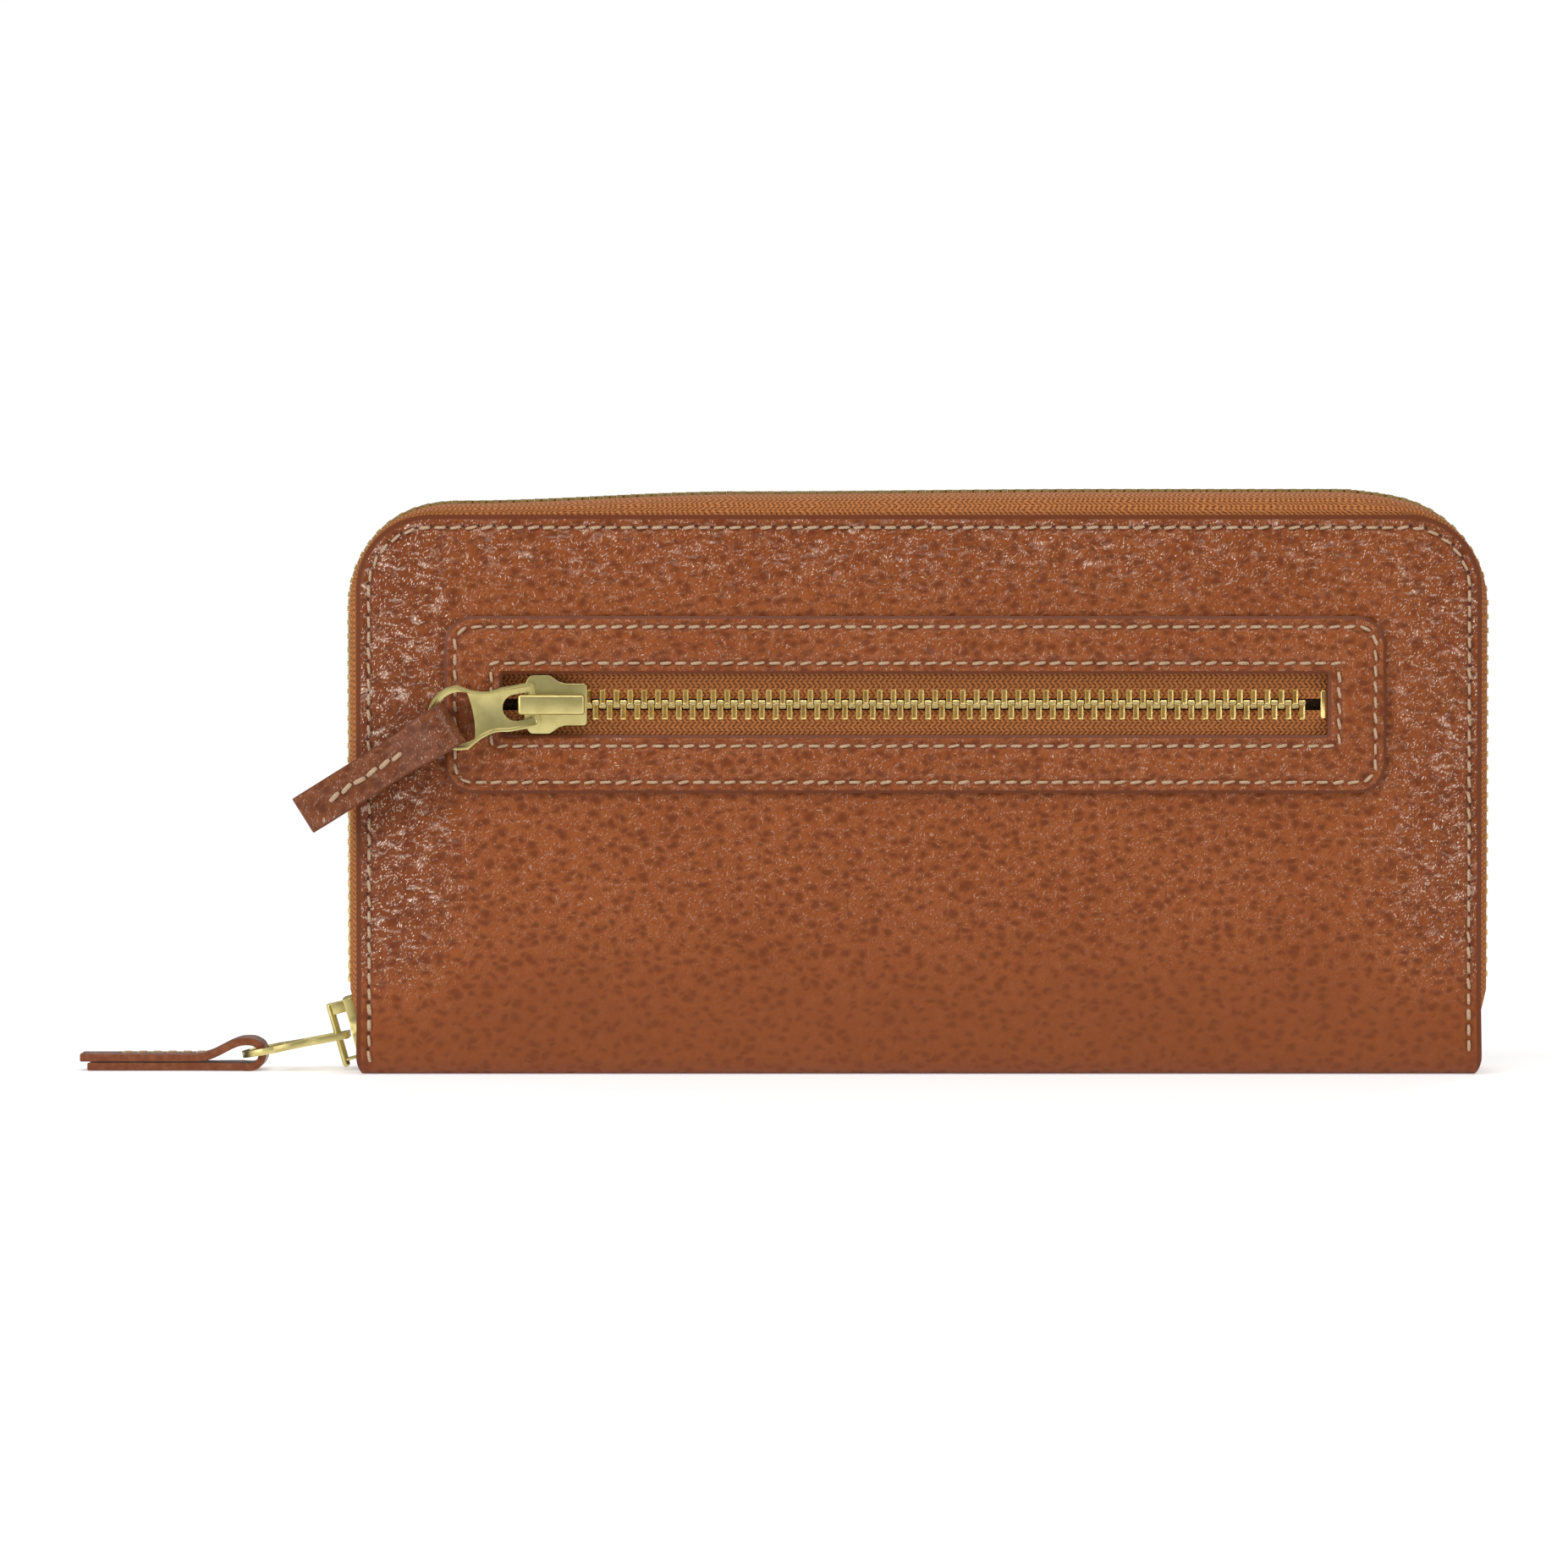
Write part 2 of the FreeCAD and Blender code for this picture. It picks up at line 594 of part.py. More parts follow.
def strap_thread():
    """Row of stitches on the strap's outer layer, in the strap's frame."""
    start = -LOOP_RADIUS - STRAP_STITCH_START
    face = LOOP_RADIUS - STRAP_THICK
    half = THREAD / 2
    stitches = []
    for number in range(STRAP_STITCHES):
        x = start - number * STRAP_STITCH_PITCH
        stitches.append(box(x - STRAP_STITCH_LENGTH, x, face - THREAD_PROUD, face, -half, half))
    return Part.makeCompound(stitches)


def pivot_height(thick):
    """Distance from the chain's middle to the bar of the pull tab."""
    return thick / 2 + SLIDER_PLAY + SLIDER_PLATE + PIVOT_ABOVE_PLATE


def main_slider_frame():
    """Main slider on the leaning leg at the lower left, mouth down, crown outwards."""
    tilt = math.radians(CHAIN_TILT)
    inward = (KNEE_HEIGHT - MAIN_SLIDER_HEIGHT) * math.tan(tilt)
    centre = V(-CHAIN_HALF + inward, 0, MAIN_SLIDER_HEIGHT)
    return frame(centre, V(-math.sin(tilt), 0, math.cos(tilt)), V(math.cos(tilt), 0, math.sin(tilt)))


def main_tab_frame():
    """Main pull tab, sloping down until its strap lies on the ground."""
    pivot = main_slider_frame().multVec(V(MAIN_PIVOT_ALONG, -pivot_height(TOOTH_THICK), 0))
    slope = math.asin((pivot.z - LOOP_RADIUS) / -LOOP_CENTRE)
    return frame(pivot, V(math.cos(slope), 0, math.sin(slope)), V(math.sin(slope), 0, -math.cos(slope)))


def main_strap_frame():
    """Main strap, flat on the ground."""
    centre = main_tab_frame().multVec(V(LOOP_CENTRE, 0, 0))
    return frame(centre, V(1, 0, 0), V(0, 0, -1))


def pocket_slider_frame():
    """Pocket slider at the closed end of its window."""
    return frame(V(POCKET_SLIDER_X, POCKET_CHAIN_Y, PATCH_Z), V(1, 0, 0), V(0, 1, 0))


def pocket_tab_frame():
    """Pocket pull tab, drooping to the left and leaning out over the patch."""
    rise = pivot_height(TOOTH_THICK)
    pivot = pocket_slider_frame().multVec(V(POCKET_PIVOT_ALONG, -rise, 0))
    clear = HALF_DEPTH + PATCH_THICK + FOLD_GAP + LOOP_RADIUS
    lean = math.asin((clear + pivot.y) / -LOOP_CENTRE)
    turn = FreeCAD.Rotation(V(0, 1, 0), -POCKET_TAB_DROOP)
    turn = turn.multiply(FreeCAD.Rotation(V(0, 0, 1), math.degrees(lean)))
    return FreeCAD.Placement(pivot, turn)


def pocket_strap_frame():
    """Pocket strap, folded round the lower left of the ring and parallel to the cover."""
    ring = FreeCAD.Placement(
        V(RING_CENTRE, 0, 0),
        FreeCAD.Rotation(V(0, 1, 0), POCKET_TAB_DROOP - POCKET_STRAP_DROOP),
    )
    loop = pocket_tab_frame().multiply(ring).multVec(V(LOOP_CENTRE - RING_CENTRE, 0, 0))
    droop = math.radians(POCKET_STRAP_DROOP)
    return frame(loop, V(math.cos(droop), 0, math.sin(droop)), V(0, 1, 0))


def coin_slider_frame():
    """Coin zip's slider at the left end of the middle pocket, crown up."""
    return frame(V(COIN_SLIDER_X, 0, COIN_CHAIN_HEIGHT), V(1, 0, 0), V(0, 0, -1))


def coin_tab_frame():
    """Coin zip's tab, lying to the left of its slider."""
    pivot = coin_slider_frame().multVec(V(COIN_PIVOT_ALONG, -pivot_height(COIN_TOOTH_THICK), 0))
    return frame(pivot, V(1, 0, 0), V(0, 0, -1))


def coin_tab():
    """Plain rectangular tab with an eye for the crown."""
    half = COIN_TAB_WIDTH / 2
    thin = TAB_THICK / 2
    tab = box(-COIN_TAB_LENGTH, TAB_BAR / 2, -thin, thin, -half, half)
    corners = [e for e in tab.Edges if e.BoundBox.XMax < -COIN_TAB_LENGTH + 0.01 and e.BoundBox.YLength > 1]
    tab = tab.makeFillet(COIN_TAB_CORNER, corners)
    eye = box(-TAB_SLOT_LENGTH, -TAB_BAR / 2, -2, 2, -TAB_SLOT / 2, TAB_SLOT / 2)
    return tab.cut(eye)


def coin_panel(side):
    """One wall of the coin pocket."""
    half = COIN_WIDTH / 2
    y0, y1 = sorted((side * COIN_INSIDE / 2, side * COIN_OUTSIDE))
    return box(-half, half, y0, y1, SPINE_TOP, COIN_HEIGHT)


def coin_gusset():
    """Bottom and ends of the coin pocket, one folded strip."""
    half = COIN_WIDTH / 2
    inside = COIN_INSIDE / 2
    strip = box(-half, half, -inside, inside, SPINE_TOP, COIN_HEIGHT)
    return strip.cut(box(-half + CLOTH, half - CLOTH, -9, 9, SPINE_TOP + CLOTH, COIN_HEIGHT + 1))


def coin_tape(side):
    """Tape of the coin zip, flared from the pocket wall out to the teeth."""
    near = COIN_CHAIN_WIDTH / 2
    wall = COIN_OUTSIDE
    half = CLOTH / 2
    hem = COIN_HEIGHT - COIN_TAPE_HEM
    knee = COIN_HEIGHT - COIN_TAPE_KNEE
    profile = [
        (near, COIN_CHAIN_HEIGHT + half), (COIN_TAPE_OUT, COIN_CHAIN_HEIGHT + half),
        (wall + CLOTH, knee), (wall + CLOTH, hem), (wall, hem), (wall, knee),
        (COIN_TAPE_OUT - CLOTH, COIN_CHAIN_HEIGHT - half), (near, COIN_CHAIN_HEIGHT - half),
    ]
    points = [V(-COIN_WIDTH / 2, side * y, z) for y, z in profile]
    return polygon(points).extrude(V(COIN_WIDTH, 0, 0))


def coin_teeth(side):
    """Row of the coin zip's teeth; side is -1 for the front row."""
    pattern = tooth(COIN_CHAIN_WIDTH, COIN_TOOTH_MESH, COIN_TOOTH_LEG, COIN_TOOTH_THICK)
    if side > 0:
        pattern = mirrored_back(pattern)
    start = COIN_SLIDER_X - COIN_SLIDER_LENGTH / 2 + POST_LENGTH + COIN_TOOTH_LEG
    count = int((COIN_WIDTH / 2 - COIN_TEETH_END_GAP - start) / COIN_TOOTH_PITCH)
    shift = 0.0 if side < 0 else COIN_TOOTH_PITCH / 2
    row = []
    for number in range(count):
        x = start + shift + number * COIN_TOOTH_PITCH
        row.append(placed(pattern, FreeCAD.Placement(V(x, 0, COIN_CHAIN_HEIGHT), FreeCAD.Rotation())))
    return Part.makeCompound(row)


def coin_stop():
    """Crimped stop at the right end of the coin zip."""
    x = COIN_WIDTH / 2 - COIN_STOP_FROM_END
    wide = COIN_STOP_WIDTH / 2
    half = COIN_TOOTH_THICK / 2
    near = COIN_CHAIN_WIDTH / 2 - STOP_CLEAR
    middle = COIN_CHAIN_HEIGHT
    return box(x - wide, x + wide, -near, near, middle - half, middle + half)


def bellows():
    """Folded gusset at the left end between the front card slots and the coin pocket."""
    outer = LINING_FACE - SLOT_COUNT * SLOT_THICK - CLEAR
    inner = COIN_OUTSIDE + CLEAR
    middle = (outer + inner) / 2
    end = -SLOT_WIDTH / 2
    tip = end + GUSSET_FOLD
    points = [
        V(end, -outer, 0), V(tip, -middle, 0), V(end, -inner, 0),
        V(end, -inner - CLOTH, 0), V(tip - GUSSET_CREASE, -middle, 0), V(end, -outer + CLOTH, 0),
    ]
    low = SPINE_TOP + GUSSET_FOOT_GAP
    gusset = polygon(points).extrude(V(0, 0, COIN_HEIGHT - GUSSET_TOP_GAP - low))
    gusset.translate(V(0, 0, low))
    return gusset


def spine_leather():
    """Underside of the wallet between the two covers."""
    half = INNER_FACE - FOLD_GAP
    reach = HALF_WIDTH - SPINE_END_GAP
    return box(-reach, reach, -half, half, 0, LEATHER)


def spine_lining():
    """Lining on the inside of the spine."""
    half = HALF_WIDTH - MARGIN
    return box(-half, half, -LINING_FACE, LINING_FACE, LEATHER, SPINE_TOP)


def all_parts():
    """Every node and its shape."""
    parts = {
        "spine_leather": spine_leather(),
        "spine_lining": spine_lining(),
        "coin_pocket_front": coin_panel(-1),
        "coin_pocket_back": coin_panel(1),
        "coin_pocket_gusset": coin_gusset(),
        "coin_zip_tape_front": coin_tape(-1),
        "coin_zip_tape_back": coin_tape(1),
        "coin_zip_teeth_front": coin_teeth(-1),
        "coin_zip_teeth_back": coin_teeth(1),
        "coin_zip_stop": coin_stop(),
    }
    cover = {
        "cover_thread": cover_thread(),
        "zip_tape": main_tape(),
        "lining": cover_lining(),
    }
    for number in range(SLOT_COUNT):
        cover[f"card_slot_{number + 1}"] = card_slot(number)
    for name, shape in cover.items():
        parts[f"front_{name}"] = shape
        parts[f"back_{name}"] = mirrored_back(shape)
    parts["front_zip_teeth"] = main_teeth(False)
    parts["back_zip_teeth"] = main_teeth(True)
    parts["front_cover_leather"] = cover_leather(True)
    parts["back_cover_leather"] = mirrored_back(cover_leather(False))
    parts["front_cover_board"] = cover_board(True)
    parts["back_cover_board"] = mirrored_back(cover_board(False))
    gusset = bellows()
    parts["front_left_gusset"] = gusset
    parts["front_right_gusset"] = gusset.mirror(V(), V(1, 0, 0))
    parts["back_left_gusset"] = mirrored_back(gusset)
    parts["back_right_gusset"] = mirrored_back(gusset).mirror(V(), V(1, 0, 0))
    parts["front_patch"] = patch_leather()
    parts["patch_outer_thread"] = patch_outer_thread()
    parts["patch_inner_thread"] = patch_inner_thread()
    for name, side in (("upper", 1), ("lower", -1)):
        parts[f"pocket_zip_tape_{name}"] = pocket_tape(side)
        parts[f"pocket_zip_teeth_{name}"] = pocket_teeth(side)
    parts["pocket_zip_stop"] = pocket_stop()
    parts["front_pocket_bag"] = pocket_bag()
    body = slider_body(SLIDER_LENGTH, SLIDER_MOUTH, SLIDER_HEEL, TOOTH_THICK)
    crown = slider_crown(SLIDER_LENGTH, TOOTH_THICK)
    coin_body = slider_body(COIN_SLIDER_LENGTH, COIN_SLIDER_MOUTH, COIN_SLIDER_HEEL, COIN_TOOTH_THICK)
    pulls = [
        ("main", body, crown, main_slider_frame()),
        ("pocket", body, crown, pocket_slider_frame()),
        ("coin", coin_body, slider_crown(COIN_SLIDER_LENGTH, COIN_TOOTH_THICK), coin_slider_frame()),
    ]
    for name, plate, bridge, place in pulls:
        parts[f"{name}_slider_body"] = placed(plate, place)
        parts[f"{name}_slider_crown"] = placed(bridge, place)
    parts["main_pull_tab"] = placed(pull_tab(), main_tab_frame())
    parts["main_strap"] = placed(strap(MAIN_STRAP_LENGTH), main_strap_frame())
    parts["main_strap_thread"] = placed(strap_thread(), main_strap_frame())
    parts["pocket_pull_tab"] = placed(pull_tab(), pocket_tab_frame())
    parts["pocket_strap"] = placed(strap(POCKET_STRAP_LENGTH), pocket_strap_frame())
    parts["pocket_strap_thread"] = placed(strap_thread(), pocket_strap_frame())
    parts["coin_pull_tab"] = placed(coin_tab(), coin_tab_frame())
    return parts


def print_axes():
    """Say where the joints lie."""
    for name, place in (
        ("main tab", main_tab_frame()),
        ("main strap", main_strap_frame()),
        ("pocket tab", pocket_tab_frame()),
        ("pocket strap", pocket_strap_frame()),
        ("coin tab", coin_tab_frame()),
        ("main slider", main_slider_frame()),
        ("pocket slider", pocket_slider_frame()),
    ):
        axis = place.Rotation.multVec(V(0, 0, 1))
        base = place.Base
        spot = f"{base.x:.3f} {base.y:.3f} {base.z:.3f}"
        print(f"{name}: at {spot} axis {axis.x:.4f} {axis.y:.4f} {axis.z:.4f}")


def main():
    """Build every node and write its file."""
    os.makedirs("parts", exist_ok=True)
    for name, shape in all_parts().items():
        shape.exportStep(f"parts/{name}.step")
        box_of = shape.BoundBox
        print(f"{name}: {len(shape.Solids)} solids, {shape.Volume:.1f} mm3, z from {box_of.ZMin:.2f}")
    print_axes()


main()
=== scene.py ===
"""Zip around wallet in cognac leather: the finished look over its working frame.

Frame: metres, +Z up, front cover towards -Y, +X to the right of somebody facing the front.
Sizes in the classes are millimetres, and the modelling helpers turn them into metres.
"""

import json
import logging
import math
import random
from contextlib import contextmanager
from dataclasses import dataclass
from enum import Enum
from typing import Any, Callable, Iterator, Optional, Sequence, Union

import bmesh
import bpy
from mathutils import Matrix, Vector


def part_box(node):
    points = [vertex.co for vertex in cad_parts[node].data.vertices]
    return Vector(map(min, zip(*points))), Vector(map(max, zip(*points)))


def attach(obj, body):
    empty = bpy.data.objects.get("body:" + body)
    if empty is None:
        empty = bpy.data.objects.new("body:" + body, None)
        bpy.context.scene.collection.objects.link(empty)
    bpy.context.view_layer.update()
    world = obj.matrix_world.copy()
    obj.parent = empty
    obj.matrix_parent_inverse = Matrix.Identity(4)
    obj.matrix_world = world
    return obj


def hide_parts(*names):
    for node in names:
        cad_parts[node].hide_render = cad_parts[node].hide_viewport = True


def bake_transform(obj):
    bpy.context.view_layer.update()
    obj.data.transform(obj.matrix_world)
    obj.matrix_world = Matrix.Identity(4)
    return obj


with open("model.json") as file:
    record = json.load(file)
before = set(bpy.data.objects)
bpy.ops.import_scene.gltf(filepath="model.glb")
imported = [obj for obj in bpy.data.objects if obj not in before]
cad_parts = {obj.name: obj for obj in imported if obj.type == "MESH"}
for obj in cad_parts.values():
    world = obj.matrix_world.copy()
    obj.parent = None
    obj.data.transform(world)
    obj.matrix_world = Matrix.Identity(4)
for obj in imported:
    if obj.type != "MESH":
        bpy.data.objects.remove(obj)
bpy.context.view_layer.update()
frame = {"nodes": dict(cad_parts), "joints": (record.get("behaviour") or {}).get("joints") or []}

MM = 0.001
WALLET_MIDDLE = Vector((0, 0, 60))
Point = tuple[float, float]
Colour = tuple[float, float, float]
log = logging.getLogger("wallet")


class Side(Enum):
    """Which cover a piece belongs to; the value is its direction along Y."""

    FRONT = -1
    BACK = 1

    @property
    def word(self) -> str:
        """The side's name as the nodes spell it."""
        return self.name.lower()


class Ground(Enum):
    """Which coordinates a finish follows."""

    SURFACE = "UV"
    SPACE = "Object"


# ---------------------------------------------------------------- numbers


def ease(value: float, low: float, high: float) -> float:
    """Smooth step between two values.

    Args:
        value: Number to grade.
        low: Where the result is 0.
        high: Where the result is 1.

    Returns:
        A number from 0 to 1.
    """
    share = min(1.0, max(0.0, (value - low) / (high - low)))
    return share * share * (3 - 2 * share)


def spread(stops: Sequence[float], step: float) -> list[float]:
    """Fill the gaps between stops so that none is wider than a step.

    Args:
        stops: Rising values that all have to be there.
        step: Widest gap.

    Returns:
        The stops and the values between them.
    """
    filled = [stops[0]]
    for low, high in zip(stops, stops[1:]):
        count = max(1, math.ceil((high - low) / step - 1e-6))
        filled += [low + (high - low) * (k + 1) / count for k in range(count)]
    return filled


def through(stops: Sequence[Point], value: float) -> float:
    """Value of a line drawn smoothly through stops.

    Args:
        stops: Pairs of place and height, by rising place.
        value: Place to read.

    Returns:
        The height there.
    """
    if value <= stops[0][0]:
        return stops[0][1]
    for (a, low), (b, high) in zip(stops, stops[1:]):
        if value <= b:
            return low + (high - low) * ease(value, a, b)
    return stops[-1][1]


# ---------------------------------------------------------------- modelling


def put_down() -> None:
    """Leave edit mode and deselect everything."""
    held = bpy.context.object
    if held is not None and held.mode != "OBJECT":
        bpy.ops.object.mode_set(mode="OBJECT")
    bpy.ops.object.select_all(action="DESELECT")


def take(piece: bpy.types.Object) -> bpy.types.Object:
    """Make a piece the only selected and active one.

    Args:
        piece: Piece to work on.

    Returns:
        The same piece.
    """
    put_down()
    piece.select_set(True)
    bpy.context.view_layer.objects.active = piece
    return piece


@contextmanager
def on_bench(piece: bpy.types.Object, mode: str = "FACE") -> Iterator[None]:
    """Edit mode on one piece, with nothing selected in it.

    Args:
        piece: Piece to edit.
        mode: VERT, EDGE or FACE.

    Yields:
        Nothing; edit mode ends with the block.
    """
    take(piece)
    bpy.ops.object.mode_set(mode="EDIT")
    bpy.ops.mesh.select_mode(type=mode)
    bpy.ops.mesh.select_all(action="DESELECT")
    yield
    bpy.ops.object.mode_set(mode="OBJECT")


def pick(piece: bpy.types.Object, wanted: Callable[[Vector, Vector], bool]) -> None:
    """Select faces in edit mode by their place and direction.

    Args:
        piece: Piece in edit mode.
        wanted: Test of a face's centre in millimetres and its normal.
    """
    mesh = bmesh.from_edit_mesh(piece.data)
    for face in mesh.faces:
        face.select_set(wanted(face.calc_center_median() / MM, face.normal))
    bmesh.update_edit_mesh(piece.data)


def improve(piece: bpy.types.Object, kind: str, **settings: Any) -> None:
    """Add a modifier and apply it.

    Args:
        piece: Piece to change.
        kind: The modifier's type.
        **settings: The modifier's own settings.
    """
    take(piece)
    modifier = piece.modifiers.new(kind.title(), kind)
    for name, value in settings.items():
        setattr(modifier, name, value)
    bpy.ops.object.modifier_apply(modifier=modifier.name)


def thicken(piece: bpy.types.Object, wall: float, rim: int = 1) -> None:
    """Give a sheet its wall, inwards from the modelled face.

    Args:
        piece: Sheet to thicken.
        wall: Wall in millimetres.
        rim: How many material slots further the cut edge's finish is.
    """
    improve(piece, "SOLIDIFY", thickness=wall * MM, offset=-1.0, use_even_offset=True,
            material_offset_rim=rim)


def soften(piece: bpy.types.Object, width: float, segments: int = 2, angle: float = 40.0) -> None:
    """Round a piece's sharp edges and shade it smooth.

    Args:
        piece: Piece to round.
        width: Width of the rounding in millimetres.
        segments: Steps of the rounding.
        angle: Edges sharper than this many degrees are rounded.
    """
    improve(piece, "BEVEL", width=width * MM, segments=segments, limit_method="ANGLE",
            angle_limit=math.radians(angle), use_clamp_overlap=True)
    shade(piece)


def shade(piece: bpy.types.Object, angle: float = 50.0) -> None:
    """Shade smooth, with creases sharper than an angle.

    Args:
        piece: Piece to shade.
        angle: Crease angle in degrees.
    """
    take(piece)
    bpy.ops.object.shade_smooth_by_angle(angle=math.radians(angle))


def sheet(name: str, columns: Sequence[float], rows: Sequence[float],
          place: Callable[[float, float], Sequence[float]],
          flat: Callable[[float, float], Point],
          marks: Optional[dict[str, Callable[[float, float], float]]] = None) -> bpy.types.Object:
    """Grid that is shaped by a rule and faces columns x rows.

    Args:
        name: Name of the piece.
        columns: Stations along the first direction.
        rows: Stations along the second direction.
        place: Place in millimetres of a station pair.
        flat: Place of a station pair on the flat hide or cloth, in millimetres.
        marks: Named values kept on the surface for its finish.

    Returns:
        The new piece.
    """
    put_down()
    wide, tall = len(columns) - 1, len(rows) - 1
    bpy.ops.mesh.primitive_grid_add(x_subdivisions=wide, y_subdivisions=tall, size=1.0)
    piece = bpy.context.object
    piece.name = name
    mesh = piece.data
    stations = []
    for vertex in mesh.vertices:
        column = columns[round((vertex.co.x + 0.5) * wide)]
        row = rows[round((vertex.co.y + 0.5) * tall)]
        stations.append((column, row))
        vertex.co = Vector(place(column, row)) * MM
    layer = mesh.uv_layers.active.data
    for loop in mesh.loops:
        layer[loop.index].uv = Vector(flat(*stations[loop.vertex_index])) * MM
    for mark, rule in (marks or {}).items():
        values = [rule(*station) for station in stations]
        mesh.attributes.new(mark, "FLOAT", "POINT").data.foreach_set("value", values)
    return piece


def plate(name: str, outline: Sequence[Sequence[float]],
          depth: Sequence[float]) -> bpy.types.Object:
    """Plate from an outline and the direction and length of its wall.

    Args:
        name: Name of the piece.
        outline: Corner places in millimetres, in order.
        depth: Vector in millimetres from the outline to the other face.

    Returns:
        The new piece.
    """
    put_down()
    bpy.ops.mesh.primitive_circle_add(vertices=len(outline), radius=MM, fill_type="NGON")
    piece = bpy.context.object
    piece.name = name
    for vertex, corner in zip(piece.data.vertices, outline):
        vertex.co = Vector(corner) * MM
    with on_bench(piece):
        bpy.ops.mesh.select_all(action="SELECT")
        move = tuple(value * MM for value in depth)
        bpy.ops.mesh.extrude_region_move(TRANSFORM_OT_translate={"value": move})
        bpy.ops.mesh.select_all(action="SELECT")
        bpy.ops.mesh.normals_make_consistent(inside=False)
    return piece


def cut(piece: bpy.types.Object, tool: bpy.types.Object) -> None:
    """Cut a tool's shape out of a piece and put the tool away.

    Args:
        piece: Piece to cut.
        tool: Shape to take out.
    """
    improve(piece, "BOOLEAN", operation="DIFFERENCE", solver="EXACT", object=tool)
    bpy.data.objects.remove(tool)


def joined(name: str, pieces: Sequence[bpy.types.Object]) -> bpy.types.Object:
    """Several meshes as one piece.

    Args:
        name: Name of the result.
        pieces: Meshes to join.

    Returns:
        The joined piece.
    """
    take(pieces[0])
    for piece in pieces[1:]:
        piece.select_set(True)
    if len(pieces) > 1:
        bpy.ops.object.join()
    whole = bpy.context.object
    whole.name = name
    return whole


def row_of(name: str, pattern: bpy.types.Object, places: Sequence[Matrix]) -> bpy.types.Object:
    """Copies of a pattern, each with its own mesh, as one piece.

    Args:
        name: Name of the row.
        pattern: Piece to repeat, at the origin.
        places: Where each copy goes, in metres.

    Returns:
        The row; the pattern is left alone.
    """
    copies = []
    for place in places:
        twin = pattern.copy()
        twin.data = pattern.data.copy()
        twin.data.transform(place)
        bpy.context.scene.collection.objects.link(twin)
        copies.append(twin)
    return joined(name, copies)


def seat(x_axis: Sequence[float], y_axis: Sequence[float], z_axis: Sequence[float],
         origin: Sequence[float]) -> Matrix:
    """Matrix from three axes and an origin in millimetres.

    Args:
        x_axis: First axis.
        y_axis: Second axis.
        z_axis: Third axis.
        origin: Origin in millimetres.

    Returns:
        The matrix, in metres.
    """
    spot = Vector(origin) * MM
    return Matrix([[x_axis[k], y_axis[k], z_axis[k], spot[k]] for k in range(3)] + [[0, 0, 0, 1]])


def dress(piece: bpy.types.Object, finishes: Sequence[bpy.types.Material]) -> None:
    """Give a piece its finishes.

    Args:
        piece: Piece to dress.
        finishes: Materials in slot order.
    """
    piece.data.materials.clear()
    for finish in finishes:
        piece.data.materials.append(finish)


def settle(piece: bpy.types.Object, body: str, *nodes: str) -> None:
    """Let a piece ride on a body in place of its nodes, and report it.

    Args:
        piece: Finished piece.
        body: Body that it moves with.
        *nodes: Nodes that it stands for.
    """
    if nodes:
        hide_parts(*nodes)
    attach(piece, body)
    log.info("%s: %d faces on %s", piece.name, len(piece.data.polygons), body)


# ---------------------------------------------------------------- shading


Value = Union[float, "Wire"]


class Wire:
    """A socket that can be used in sums."""

    def __init__(self, recipe: "Recipe", socket: bpy.types.NodeSocket) -> None:
        """Keep the socket and the recipe it belongs to.

        Args:
            recipe: Recipe that owns the nodes.
            socket: Output socket.
        """
        self.recipe = recipe
        self.socket = socket

    def _sum(self, operation: str, first: Value, second: Value) -> "Wire":
        """One Math node on two values."""
        return self.recipe.node("ShaderNodeMath", {"operation": operation}, {0: first, 1: second})

    def __add__(self, other: Value) -> "Wire":
        """Sum."""
        return self._sum("ADD", self, other)

    __radd__ = __add__

    def __sub__(self, other: Value) -> "Wire":
        """Difference."""
        return self._sum("SUBTRACT", self, other)

    def __rsub__(self, other: Value) -> "Wire":
        """Difference the other way round."""
        return self._sum("SUBTRACT", other, self)

    def __mul__(self, other: Value) -> "Wire":
        """Product."""
        return self._sum("MULTIPLY", self, other)

    __rmul__ = __mul__

    def bounded(self) -> "Wire":
        """The value kept between 0 and 1."""
        return self.recipe.node("ShaderNodeClamp", {}, {"Value": self})

    def step(self, low: float, high: float) -> "Wire":
        """Smooth step from 0 to 1.

        Args:
            low: Where the result is 0.
            high: Where the result is 1.

        Returns:
            The graded value.
        """
        settings = {"interpolation_type": "SMOOTHSTEP"}
        inputs = {"Value": self, "From Min": low, "From Max": high}
        return self.recipe.node("ShaderNodeMapRange", settings, inputs)

    def wave(self) -> "Wire":
        """Sine of the value."""
        return self._sum("SINE", self, 0.0)

    def there_and_back(self, scale: float) -> "Wire":
        """Zigzag between 0 and a scale."""
        return self._sum("PINGPONG", self, scale)


